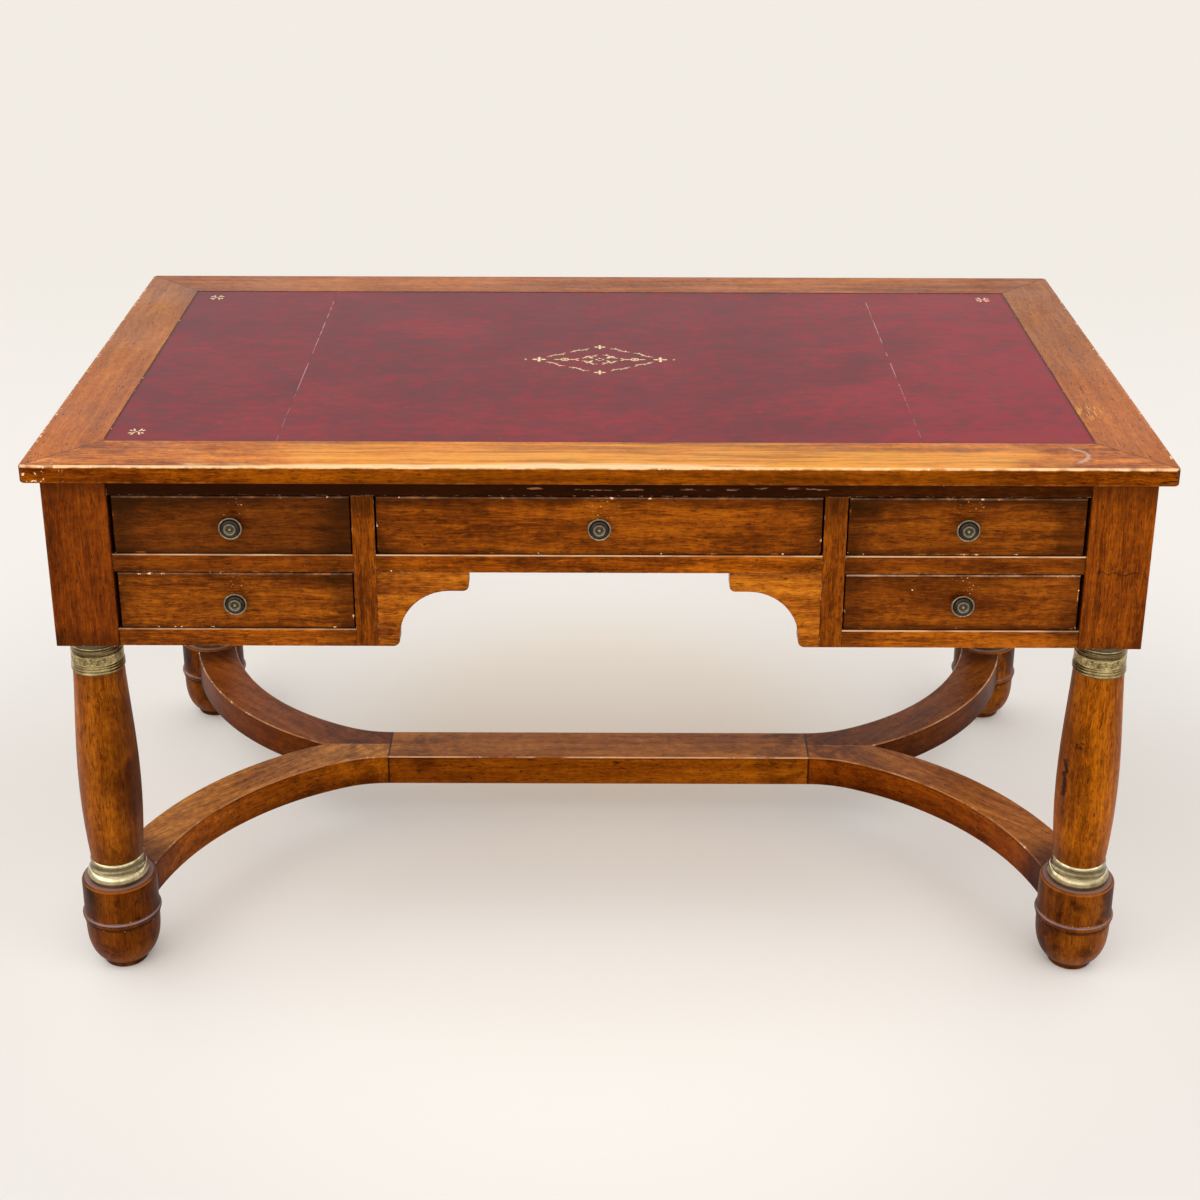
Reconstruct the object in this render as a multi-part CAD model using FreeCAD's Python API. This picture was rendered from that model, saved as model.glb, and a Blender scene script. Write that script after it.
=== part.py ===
import FreeCAD, Part
import math
import os
from FreeCAD import Vector

# A writing desk with a leather top, five drawers, four turned columns and a curved stretcher.
# Lengths are millimetres. X runs along the desk, Y from the sitter to the back, Z up from the floor.
# The origin is on the floor under the middle of the top.

# Whole desk
top_width = 1500.0
top_depth = 860.0
desk_height = 790.0

# Writing top: a mitred frame round a leathered panel
top_thickness = 25.0
top_rail_width = 90.0
top_corner_radius = 8.0
top_edge_round = 3.0
leather_thickness = 1.5
leather_set_down = 0.4
leather_side_width = 230.0
leather_seam_gap = 0.3
panel_tongue_length = 8.0
panel_tongue_thickness = 7.0

# Apron: posts, rails and boards under the top
apron_height = 242.0
post_size = 85.0
post_arris = 2.0
top_overhang_side = 22.0
top_overhang_front = 16.0
rail_recess = 2.5
rail_depth = 45.0
top_rail_height = 23.0
upper_opening_height = 84.5
divider_height = 25.5
lower_opening_height = 83.5
stile_inner_x = 295.0
stile_width = 30.0
board_thickness = 22.0
partition_thickness = 20.0
frame_arris = 0.5

# Joints of the apron
tenon_length = 20.0
tenon_thickness = 10.0
tenon_shoulder = 4.0
board_shoulder = 26.0
stub_length = 9.0
groove_depth = 6.0
fit_gap = 0.2

# Brackets of the kneehole
bracket_reach = 122.0
bracket_thickness = 22.0
bracket_nose_height = 27.0
bracket_nose_flat = 25.0
bracket_nose_round = 8.0
bracket_foot_width = 28.0
bracket_foot_round = 9.0

# Legs: column, collars and foot turned on one axis
foot_height = 140.0
foot_radius = 52.5
foot_edge_round = 5.0
foot_bead_radius = 55.5
foot_bead_height = 8.0
foot_bead_level = 79.0
foot_step_radius = 53.5
foot_step_height = 4.0
foot_pad_radius = 31.5
foot_pad_height = 8.0
foot_pad_groove = 1.5
column_belly_radius = 42.6
column_neck_radius = 33.0
column_heel_radius = 35.0
spigot_radius = 15.0
spigot_length = 40.0
top_collar_height = 50.0
top_collar_radius = 36.6
base_collar_height = 34.0
base_collar_radius = 44.0

# Stretcher: a straight bar and four curved arms
stretcher_top = 138.0
stretcher_thickness = 49.0
stretcher_arris = 1.6
bar_width = 80.0
bar_tenon_length = 36.0
bar_tenon_width = 26.0
arm_span = 352.5
arm_width = 65.5
arm_ease_radius = 170.0
arm_ease_angle = 24.0
arm_tenon_length = 24.0
arm_tenon_width = 20.0
arm_tenon_shoulder = 10.0

# Drawers
drawer_recess = 1.0
centre_side_gap = 2.5
drawer_inner_gap = 1.8
drawer_outer_gap = 4.8
drawer_top_gap = 2.0
drawer_foot_gap = 1.0
drawer_front_thickness = 22.0
drawer_arris = 1.5
centre_drawer_corner = 6.0
box_inset = 0.5
box_length = 600.0
box_wall = 11.0
box_drop = 14.0
back_drop = 6.0
bottom_thickness = 6.0
bottom_lift = 8.0
bottom_groove = 4.0
dovetail_length = 15.0
dovetail_count = 2
runner_gap = 0.3
runner_height = 20.0
runner_ledge = 20.0
guide_height = 24.0
guide_width = 18.0
guide_gap = 1.5
stop_width = 30.0
stop_depth = 12.0
stop_height = 6.0
stop_gap = 0.3

# Knobs
knob_radius = 15.7
knob_projection = 17.0
knob_foot_radius = 9.0
knob_neck_radius = 6.0
knob_stem_radius = 2.5
knob_nut_width = 10.0
knob_nut_thickness = 4.0

# Outlines as shares of the sizes above: radius share, height share
column_shares = [(0.852, 0.0), (0.948, 0.16), (1.0, 0.38), (0.972, 0.58), (0.887, 0.80), (0.812, 1.0)]
foot_bowl_shares = [(0.99, 1.0), (0.978, 0.60), (0.905, 0.31), (0.785, 0.115), (0.655, 0.0)]
arm_aim_shares = (-0.74, 0.37)
dovetail_narrow_share = 0.44
dovetail_wide_share = 0.66

# Places worked out from the sizes
top_underside = desk_height - top_thickness
apron_bottom = top_underside - apron_height
post_outer_x = top_width / 2 - top_overhang_side
post_inner_x = post_outer_x - post_size
post_outer_y = top_depth / 2 - top_overhang_front
post_inner_y = post_outer_y - post_size
leg_x = post_outer_x - post_size / 2
leg_y = post_outer_y - post_size / 2
frame_face_y = -post_outer_y + rail_recess
frame_back_y = frame_face_y + rail_depth
back_face_y = post_outer_y - rail_recess - board_thickness
opening_top = top_underside - top_rail_height
upper_floor = opening_top - upper_opening_height
lower_ceiling = upper_floor - divider_height
lower_floor = lower_ceiling - lower_opening_height
stile_outer_x = stile_inner_x + stile_width
partition_x0 = stile_inner_x + (stile_width - partition_thickness) / 2
partition_x1 = partition_x0 + partition_thickness
drawer_face_y = frame_face_y + drawer_recess
drawer_back_y = drawer_face_y + drawer_front_thickness
stretcher_bottom = stretcher_top - stretcher_thickness

os.makedirs("parts", exist_ok=True)


def box(x0, x1, y0, y1, z0, z1):
    """A rectangular board between two corners."""
    return Part.makeBox(x1 - x0, y1 - y0, z1 - z0, Vector(x0, y0, z0))


def mirrored(shape, flip_x, flip_y):
    """The shape on another corner or side of the desk."""
    if flip_x:
        shape = shape.mirror(Vector(0, 0, 0), Vector(1, 0, 0))
    if flip_y:
        shape = shape.mirror(Vector(0, 0, 0), Vector(0, 1, 0))
    return shape


def keep(node, solids):
    """Write the solids of one node to its own file."""
    shape = solids[0] if len(solids) == 1 else Part.makeCompound(solids)
    shape.exportStep("parts/" + node + ".step")


def one(shape):
    """The single solid that a union or a cut leaves."""
    return shape.removeSplitter().Solids[0]


def rounded(shape, radius, wanted):
    """The shape with the edges that wanted picks rounded off."""
    edges = [edge for edge in shape.Edges if wanted(edge)]
    return shape.makeFillet(radius, edges).Solids[0]


def bevelled(shape, width, wanted):
    """The shape with the edges that wanted picks planed to a narrow bevel."""
    edges = [edge for edge in shape.Edges if wanted(edge)]
    return shape.makeChamfer(width, edges).Solids[0]


def runs_along(edge, axis):
    """True where the edge is straight along the axis."""
    if len(edge.Vertexes) != 2 or edge.Curve.TypeId != "Part::GeomLine":
        return False
    step = edge.Vertexes[1].Point - edge.Vertexes[0].Point
    return step.normalize().cross(axis).Length < 1e-6


def outline(start, steps):
    """A closed wire in the XZ plane. A step is a line's end, an arc's middle and end, or a curve's points."""
    edges = []
    here = Vector(start[0], 0, start[1])
    for kind, points in steps:
        stops = [Vector(x, 0, z) for x, z in points]
        if kind == "line":
            edges.append(Part.LineSegment(here, stops[0]).toShape())
        elif kind == "arc":
            edges.append(Part.Arc(here, stops[0], stops[1]).toShape())
        else:
            curve = Part.BSplineCurve()
            curve.interpolate([here] + stops)
            edges.append(curve.toShape())
        here = stops[-1]
    edges.append(Part.LineSegment(here, Vector(start[0], 0, start[1])).toShape())
    return Part.Wire(edges)


def turned(start, steps, base_z):
    """A solid turned on the leg's own axis, with its foot at base_z."""
    solid = Part.Face(outline(start, steps)).revolve(Vector(0, 0, 0), Vector(0, 0, 1), 360)
    solid.translate(Vector(leg_x, leg_y, base_z))
    return Part.Solid(solid.Solids[0])


def tenon(board, axis, low, high, shoulder, room=0.0):
    """A tongue through a board and out of its ends by low and high, with room to spare on every side."""
    x0, x1, y0, y1, z0, z1 = board
    half = tenon_thickness / 2 + room
    side = shoulder - room
    if axis == "x":
        middle = (y0 + y1) / 2
        return box(x0 - low - room, x1 + high + room, middle - half, middle + half, z0 + side, z1 - side)
    middle = (x0 + x1) / 2
    if axis == "y":
        return box(middle - half, middle + half, y0 - low - room, y1 + high + room, z0 + side, z1 - side)
    middle_y = (y0 + y1) / 2
    return box(x0 + side, x1 - side, middle_y - half, middle_y + half, z0 - low - room, z1 + high + room)


# Writing top
slab = rounded(
    box(-top_width / 2, top_width / 2, -top_depth / 2, top_depth / 2, top_underside, desk_height),
    top_corner_radius, lambda edge: runs_along(edge, Vector(0, 0, 1)))
slab = rounded(slab, top_edge_round, lambda edge: not runs_along(edge, Vector(0, 0, 1)))
field_x = top_width / 2 - top_rail_width
field_y = top_depth / 2 - top_rail_width
panel_face_z = desk_height - leather_set_down - leather_thickness
tongue_z0 = (top_underside + panel_face_z - panel_tongue_thickness) / 2
tongue_z1 = tongue_z0 + panel_tongue_thickness


def panel_tongue(room):
    """The tongue round the panel, which the frame's groove holds."""
    reach = panel_tongue_length + room
    return box(-field_x - reach, field_x + reach, -field_y - reach, field_y + reach,
               tongue_z0 - room, tongue_z1 + room)


frame = slab.cut(box(-field_x, field_x, -field_y, field_y, top_underside, desk_height))
frame = frame.cut(panel_tongue(fit_gap))
panel = box(-field_x + fit_gap, field_x - fit_gap, -field_y + fit_gap, field_y - fit_gap,
            top_underside, panel_face_z)
keep("top_panel", [one(panel.fuse(panel_tongue(0)))])


def mitred(points):
    """The part of the frame inside a plan outline, whose sides are the mitres."""
    corners = [Vector(x, y, top_underside) for x, y in points]
    wire = Part.makePolygon(corners + [corners[0]])
    return frame.common(Part.Face(wire).extrude(Vector(0, 0, top_thickness))).Solids[0]


outer = (top_width / 2, top_depth / 2)
inner = (field_x, field_y)
front_rail_plan = [(-outer[0], -outer[1]), (outer[0], -outer[1]), (inner[0], -inner[1]), (-inner[0], -inner[1])]
left_rail_plan = [(-outer[0], -outer[1]), (-inner[0], -inner[1]), (-inner[0], inner[1]), (-outer[0], outer[1])]
front_top = mitred(front_rail_plan)
left_top = mitred(left_rail_plan)
keep("top_rail_front", [front_top])
keep("top_rail_back", [mirrored(front_top, False, True)])
keep("top_rail_left", [left_top])
keep("top_rail_right", [mirrored(left_top, True, False)])

seam_x = field_x - leather_side_width
leather_z1 = panel_face_z + leather_thickness
leather_y = field_y - fit_gap
leather_side = box(seam_x + leather_seam_gap / 2, field_x - fit_gap, -leather_y, leather_y,
                   panel_face_z, leather_z1)
leather_middle = box(-seam_x + leather_seam_gap / 2, seam_x - leather_seam_gap / 2, -leather_y, leather_y,
                     panel_face_z, leather_z1)
keep("leather_right", [leather_side])
keep("leather_left", [mirrored(leather_side, True, False)])
keep("leather_centre", [leather_middle])

# Boards of the front frame, each from low to high corner
top_rail_board = (-post_inner_x, post_inner_x, frame_face_y, frame_back_y, opening_top, top_underside)
stile_board = (stile_inner_x, stile_outer_x, frame_face_y, frame_back_y, apron_bottom, opening_top)
divider_board = (stile_outer_x, post_inner_x, frame_face_y, frame_back_y, lower_ceiling, upper_floor)
bottom_board = (stile_outer_x, post_inner_x, frame_face_y, frame_back_y, apron_bottom, lower_floor)
centre_board = (-stile_inner_x, stile_inner_x, frame_face_y, frame_back_y, lower_ceiling, upper_floor)
side_board = (post_outer_x - rail_recess - board_thickness, post_outer_x - rail_recess,
              -post_inner_y, post_inner_y, apron_bottom, top_underside)
back_board = (-post_inner_x, post_inner_x, back_face_y, back_face_y + board_thickness,
              apron_bottom, top_underside)
partition_board = (partition_x0, partition_x1, frame_back_y, back_face_y, apron_bottom, top_underside)


def front_tenon(board, room=0.0):
    """The tongue of a short rail: a stub into the stile and a full tenon into the post."""
    return tenon(board, "x", stub_length, tenon_length, tenon_shoulder, room)


def top_rail_tenon(room=0.0):
    """The tongue of the long rail under the top, into both front posts."""
    return tenon(top_rail_board, "x", tenon_length, tenon_length, tenon_shoulder, room)


def stile_tenon(room=0.0):
    """The stub on the stile's upper end, into the long rail."""
    return tenon(stile_board, "z", -tenon_shoulder, stub_length, tenon_shoulder, room)


def centre_tenon(room=0.0):
    """The stubs of the rail over the kneehole, into both stiles."""
    return tenon(centre_board, "x", stub_length, stub_length, tenon_shoulder, room)


def side_tenon(room=0.0):
    """The tenons of a side apron, into the posts in front of and behind it."""
    return tenon(side_board, "y", tenon_length, tenon_length, board_shoulder, room)


def back_tenon(room=0.0):
    """The tenons of the back apron, into the back posts."""
    return tenon(back_board, "x", tenon_length, tenon_length, board_shoulder, room)


def partition_tongue(room=0.0):
    """The tongue of a partition, into the stile in front and the apron behind."""
    return tenon(partition_board, "y", groove_depth, groove_depth, board_shoulder, room)


def frame_board(board):
    """A board of the front frame, with the edges of its face eased."""
    return bevelled(box(*board), frame_arris, lambda edge: abs(edge.CenterOfMass.y - frame_face_y) < 1e-6)


top_rail = frame_board(top_rail_board).fuse(top_rail_tenon())
top_rail = top_rail.cut(stile_tenon(fit_gap)).cut(mirrored(stile_tenon(fit_gap), True, False))
keep("front_top_rail", [one(top_rail)])

stile = frame_board(stile_board).fuse(stile_tenon())
for socket in (front_tenon(divider_board, fit_gap), front_tenon(bottom_board, fit_gap),
               centre_tenon(fit_gap), partition_tongue(fit_gap)):
    stile = stile.cut(socket)
stile = one(stile)
divider = one(frame_board(divider_board).fuse(front_tenon(divider_board)))
bottom_rail = one(frame_board(bottom_board).fuse(front_tenon(bottom_board)))
keep("centre_rail", [one(frame_board(centre_board).fuse(centre_tenon()))])

side_apron = one(box(*side_board).fuse(side_tenon()))
partition = one(box(*partition_board).fuse(partition_tongue()))
back_apron = box(*back_board).fuse(back_tenon())
back_apron = back_apron.cut(partition_tongue(fit_gap)).cut(mirrored(partition_tongue(fit_gap), True, False))
keep("back_apron", [one(back_apron)])

# Bracket: a square nose under the rail, a quarter-round cove and a rounded toe beside the stile
nose_x = stile_inner_x - bracket_reach
nose_z = lower_ceiling - bracket_nose_height
toe_x = stile_inner_x - bracket_foot_width
cove_radius = toe_x - nose_x - bracket_nose_flat
cove_z = nose_z - cove_radius
eighth = math.sqrt(0.5)
bracket_wire = outline((stile_inner_x, lower_ceiling), [
    ("line", [(nose_x, lower_ceiling)]),
    ("line", [(nose_x, nose_z + bracket_nose_round)]),
    ("arc", [(nose_x + bracket_nose_round * (1 - eighth), nose_z + bracket_nose_round * (1 - eighth)),
             (nose_x + bracket_nose_round, nose_z)]),
    ("line", [(nose_x + bracket_nose_flat, nose_z)]),
    ("arc", [(nose_x + bracket_nose_flat + cove_radius * eighth, cove_z + cove_radius * eighth),
             (toe_x, cove_z)]),
    ("line", [(toe_x, apron_bottom + bracket_foot_round)]),
    ("arc", [(toe_x + bracket_foot_round * (1 - eighth), apron_bottom + bracket_foot_round * (1 - eighth)),
             (toe_x + bracket_foot_round, apron_bottom)]),
    ("line", [(stile_inner_x, apron_bottom)]),
])
bracket = Part.Face(bracket_wire).extrude(Vector(0, bracket_thickness, 0))
bracket.translate(Vector(0, frame_face_y, 0))
bracket = bevelled(bracket, frame_arris, lambda edge: abs(edge.CenterOfMass.y - frame_face_y) < 1e-6)

for side, flip in (("right", False), ("left", True)):
    keep("stile_" + side, [mirrored(stile, flip, False)])
    keep("divider_rail_" + side, [mirrored(divider, flip, False)])
    keep("bottom_rail_" + side, [mirrored(bottom_rail, flip, False)])
    keep("side_apron_" + side, [mirrored(side_apron, flip, False)])
    keep("partition_" + side, [mirrored(partition, flip, False)])
    keep("bracket_" + side, [mirrored(bracket, flip, False)])

# Leg pieces, made at the back right corner and mirrored to the others
heel_z = foot_height + base_collar_height
neck_z = apron_bottom - top_collar_height
shaft_height = neck_z - heel_z
shaft = [(column_belly_radius * r, heel_z + shaft_height * h) for r, h in column_shares]
column = turned((0, foot_height - spigot_length), [
    ("line", [(spigot_radius, foot_height - spigot_length)]),
    ("line", [(spigot_radius, foot_height)]),
    ("line", [(column_heel_radius, foot_height)]),
    ("line", [(column_heel_radius, heel_z)]),
    ("line", [shaft[0]]),
    ("curve", shaft[1:]),
    ("line", [(column_neck_radius, neck_z)]),
    ("line", [(column_neck_radius, apron_bottom)]),
    ("line", [(spigot_radius, apron_bottom)]),
    ("line", [(spigot_radius, apron_bottom + spigot_length)]),
    ("line", [(0, apron_bottom + spigot_length)]),
], 0)


def moulding(radius, height, bore, steps):
    """A ring of stacked mouldings, from its lower edge up, in shares of its radius and height."""
    scaled = [(kind, [(radius * r, height * h) for r, h in points]) for kind, points in steps]
    return (bore, 0), scaled + [("line", [(bore, height)])]


top_collar = turned(*moulding(top_collar_radius, top_collar_height, column_neck_radius + fit_gap, [
    ("line", [(0.965, 0.0)]),
    ("arc", [(1.0, 0.07), (0.965, 0.14)]),
    ("arc", [(0.99, 0.20), (0.955, 0.27)]),
    ("line", [(0.955, 0.60)]),
    ("arc", [(0.99, 0.66), (0.955, 0.72)]),
    ("line", [(0.945, 0.90)]),
    ("arc", [(0.98, 0.94), (1.05, 0.96)]),
    ("line", [(1.05, 1.0)]),
]), neck_z)
base_collar = turned(*moulding(base_collar_radius, base_collar_height, column_heel_radius + fit_gap, [
    ("line", [(0.98, 0.0)]),
    ("line", [(0.98, 0.07)]),
    ("arc", [(1.0, 0.28), (0.93, 0.54)]),
    ("arc", [(0.865, 0.66), (0.86, 0.82)]),
    ("arc", [(0.89, 0.91), (0.86, 1.0)]),
]), foot_height)

bowl_top = foot_bead_level - foot_step_height
bowl_height = bowl_top - foot_pad_height - foot_pad_groove
bowl = [(foot_radius * r, foot_pad_height + foot_pad_groove + bowl_height * h) for r, h in foot_bowl_shares]
bead_top = foot_bead_level + foot_bead_height
edge = foot_edge_round
foot = turned((0, 0), [
    ("line", [(foot_pad_radius - foot_pad_groove, 0)]),
    ("arc", [(foot_pad_radius, foot_pad_height / 2), (foot_pad_radius - foot_pad_groove, foot_pad_height)]),
    ("line", [bowl[-1]]),
    ("curve", bowl[-2::-1]),
    ("line", [(foot_step_radius, bowl_top)]),
    ("line", [(foot_step_radius, foot_bead_level)]),
    ("arc", [(foot_bead_radius, foot_bead_level + foot_bead_height / 2), (foot_radius, bead_top)]),
    ("line", [(foot_radius, foot_height - edge)]),
    ("arc", [(foot_radius - edge * (1 - eighth), foot_height - edge * (1 - eighth)),
             (foot_radius - edge, foot_height)]),
    ("line", [(0, foot_height)]),
], 0)


def spigot_socket(base_z, height):
    """The round hole that takes a spigot of the column."""
    return Part.makeCylinder(spigot_radius + fit_gap, height, Vector(leg_x, leg_y, base_z))


# Stretcher arm: two tangent arcs in plan, from the bar's end round to the foot block
ease = math.radians(arm_ease_angle)
bar_end = leg_x - arm_span
arm_seat_radius = foot_radius + fit_gap
ease_centre = (bar_end, bar_width / 2 + arm_ease_radius)


def on_arc(centre, radius, angle):
    """The plan point of an arc that leaves along X and turns towards Y."""
    return Vector(centre[0] + radius * math.sin(angle), centre[1] - radius * math.cos(angle), 0)


ease_end = on_arc(ease_centre, arm_ease_radius, ease)
aim_x = leg_x + foot_radius * arm_aim_shares[0]
aim_y = leg_y + foot_radius * arm_aim_shares[1]
chord_angle = math.atan2(aim_y - ease_end.y, aim_x - ease_end.x)
chord = math.hypot(aim_x - ease_end.x, aim_y - ease_end.y)
arm_radius = chord / (2 * math.sin(chord_angle - ease))
arm_end_angle = 2 * chord_angle - ease
arm_centre = (ease_end.x - arm_radius * math.sin(ease), ease_end.y + arm_radius * math.cos(ease))


def arm_edge(offset, ease_from, turn_from):
    """The two arcs of an edge that lies offset outside the arm's inner edge, from the given angles on."""
    edges = []
    for centre, radius, start, end in ((ease_centre, arm_ease_radius + offset, ease_from, ease),
                                       (arm_centre, arm_radius + offset, turn_from, arm_end_angle)):
        if end > start:
            stops = [on_arc(centre, radius, start + (end - start) * share) for share in (0, 0.5, 1)]
            edges.append(Part.Arc(*stops).toShape())
    return edges


def crotch_angles():
    """Where the outer edge crosses the middle plane, as its start on either arc."""
    on_ease = math.acos(1 - (arm_width - bar_width / 2) / (arm_ease_radius + arm_width))
    if on_ease < ease:
        return on_ease, ease
    return ease, math.acos(arm_centre[1] / (arm_radius + arm_width))


outer_edges = arm_edge(arm_width, *crotch_angles())
inner_edges = arm_edge(0, 0, ease)
crotch = outer_edges[0].Vertexes[0].Point
bar_corner = inner_edges[0].Vertexes[0].Point
arm_wire = Part.Wire(inner_edges + [
    Part.LineSegment(inner_edges[-1].Vertexes[-1].Point, outer_edges[-1].Vertexes[-1].Point).toShape(),
] + outer_edges[::-1] + [
    Part.LineSegment(crotch, Vector(bar_end, 0, 0)).toShape(),
    Part.LineSegment(Vector(bar_end, 0, 0), bar_corner).toShape(),
])
arm = Part.Face(arm_wire).extrude(Vector(0, 0, stretcher_thickness))
arm.translate(Vector(0, 0, stretcher_bottom))
arm = arm.cut(Part.makeCylinder(arm_seat_radius, desk_height, Vector(leg_x, leg_y, 0)))
arm = bevelled(arm, stretcher_arris, lambda edge: edge.Curve.TypeId == "Part::GeomCircle"
               and abs(edge.Curve.Radius - arm_seat_radius) > 1e-6)


def meeting_angle():
    """The angle at which the arm's middle line reaches the foot block."""
    low, high = ease, arm_end_angle
    while high - low > 1e-9:
        middle = (low + high) / 2
        point = on_arc(arm_centre, arm_radius + arm_width / 2, middle)
        if math.hypot(point.x - leg_x, point.y - leg_y) > foot_radius:
            low = middle
        else:
            high = middle
    return high


def arm_tenon(room=0.0):
    """The straight tenon on the arm's end, into the foot block."""
    angle = meeting_angle()
    start = on_arc(arm_centre, arm_radius + arm_width / 2, angle)
    half = arm_tenon_width / 2 + room
    tongue = box(-arm_tenon_length, arm_tenon_length + room, -half, half,
                 stretcher_bottom + arm_tenon_shoulder - room, stretcher_top - arm_tenon_shoulder + room)
    tongue.rotate(Vector(0, 0, 0), Vector(0, 0, 1), math.degrees(angle))
    tongue.translate(start)
    return tongue


def bar_tenon(room=0.0):
    """The tenons of the bar, held between the two arms at each end."""
    half = bar_tenon_width / 2 + room
    reach = bar_end + bar_tenon_length + room
    return box(-reach, reach, -half, half,
               stretcher_bottom + arm_tenon_shoulder - room, stretcher_top - arm_tenon_shoulder + room)


arm = one(arm.fuse(arm_tenon()).cut(bar_tenon(fit_gap)))
bar = bevelled(box(-bar_end, bar_end, -bar_width / 2, bar_width / 2, stretcher_bottom, stretcher_top),
               stretcher_arris, lambda edge: runs_along(edge, Vector(1, 0, 0)))
keep("stretcher_bar", [one(bar.fuse(bar_tenon()))])
foot = one(foot.cut(spigot_socket(foot_height - spigot_length - fit_gap, desk_height)).cut(arm_tenon(fit_gap)))

plain_post = rounded(
    box(post_inner_x, post_outer_x, post_inner_y, post_outer_y, apron_bottom, top_underside),
    post_arris, lambda edge: runs_along(edge, Vector(0, 0, 1)))
plain_post = plain_post.cut(spigot_socket(apron_bottom - fit_gap, spigot_length + 2 * fit_gap))
plain_post = plain_post.cut(side_tenon(fit_gap))
back_post = one(plain_post.cut(back_tenon(fit_gap)))
front_post = mirrored(plain_post, False, True)
for socket in (top_rail_tenon(fit_gap), front_tenon(divider_board, fit_gap), front_tenon(bottom_board, fit_gap)):
    front_post = front_post.cut(socket)
front_post = one(front_post)

top_collars = []
base_collars = []
for corner, flip_x, flip_y in (("front_left", True, True), ("front_right", False, True),
                               ("back_left", True, False), ("back_right", False, False)):
    post = mirrored(front_post, flip_x, False) if flip_y else mirrored(back_post, flip_x, False)
    keep("post_" + corner, [post])
    keep("column_" + corner, [mirrored(column, flip_x, flip_y)])
    keep("foot_" + corner, [mirrored(foot, flip_x, flip_y)])
    keep("stretcher_arm_" + corner, [mirrored(arm, flip_x, flip_y)])
    top_collars.append(mirrored(top_collar, flip_x, flip_y))
    base_collars.append(mirrored(base_collar, flip_x, flip_y))
keep("top_collars", top_collars)
keep("base_collars", base_collars)

# Runners, guides, kickers and stops
runner_rise = drawer_foot_gap - runner_gap


def strip(wall_x, open_x, z0, z1):
    """A strip on a partition, from the front frame to the back apron."""
    return box(min(wall_x, open_x), max(wall_x, open_x), frame_back_y, back_face_y, z0, z1)


def notched_strip(z0, z1):
    """A strip beside the posts, notched round them."""
    ledge = box(post_inner_x - runner_ledge, post_inner_x, frame_back_y, back_face_y, z0, z1)
    tail = box(post_inner_x, post_inner_x + guide_width, -post_inner_y, post_inner_y, z0, z1)
    return one(ledge.fuse(tail))


def guide(wall_x, side_x, z0):
    """A strip that stands on a runner against wall_x and guides the drawer's side at side_x."""
    face_x = side_x - math.copysign(guide_gap, side_x - wall_x)
    return strip(wall_x, face_x, z0, z0 + guide_height)


side_ledge_x = stile_outer_x + runner_ledge
centre_ledge_x = stile_inner_x - runner_ledge
runners = []
for floor in (upper_floor, lower_floor):
    top = floor + runner_rise
    runners.append(strip(partition_x1, side_ledge_x, top - runner_height, top))
    runners.append(guide(partition_x1, stile_outer_x + drawer_inner_gap + box_inset, top))
    runners.append(notched_strip(top - runner_height, top))
    outer_guide = guide(post_inner_x + guide_width, post_inner_x - drawer_outer_gap - box_inset, top)
    for y0, y1 in ((-post_outer_y, -post_inner_y), (post_inner_y, post_outer_y)):
        outer_guide = outer_guide.cut(box(post_inner_x, post_outer_x, y0, y1, top, top + guide_height))
    runners.append(one(outer_guide))
centre_top = upper_floor + runner_rise
runners.append(strip(centre_ledge_x, partition_x0, centre_top - runner_height, centre_top))
runners.append(guide(partition_x0, stile_inner_x - centre_side_gap - box_inset, centre_top))
kickers = [
    strip(partition_x1, side_ledge_x, opening_top, top_underside),
    strip(centre_ledge_x, partition_x0, opening_top, top_underside),
    notched_strip(opening_top, top_underside),
]
keep("drawer_runners", runners + [mirrored(piece, True, False) for piece in runners])
keep("drawer_kickers", kickers + [mirrored(piece, True, False) for piece in kickers])


def opening_stops(x0, x1, floor):
    """Two small blocks that stop a drawer front level with the frame."""
    y0 = drawer_back_y + stop_gap
    inset = (x1 - x0) / 4 - stop_width / 2
    return [box(x0 + inset, x0 + inset + stop_width, y0, y0 + stop_depth, floor, floor + stop_height),
            box(x1 - inset - stop_width, x1 - inset, y0, y0 + stop_depth, floor, floor + stop_height)]


# Drawers
def dovetails(x0, x1, z0, z1, room):
    """Tails on the front end of a drawer side, spread evenly over its height."""
    pitch = (z1 - z0) / dovetail_count
    tails = []
    for index in range(dovetail_count):
        middle = z0 + pitch * (index + 0.5)
        narrow = pitch * dovetail_narrow_share / 2 + room
        wide = pitch * dovetail_wide_share / 2 + room
        tip_y = drawer_back_y - dovetail_length - room
        corners = [Vector(x0, drawer_back_y, middle - narrow), Vector(x0, tip_y, middle - wide),
                   Vector(x0, tip_y, middle + wide), Vector(x0, drawer_back_y, middle + narrow)]
        face = Part.Face(Part.makePolygon(corners + [corners[0]]))
        tails.append(face.extrude(Vector(x1 - x0, 0, 0)))
    return tails


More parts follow.
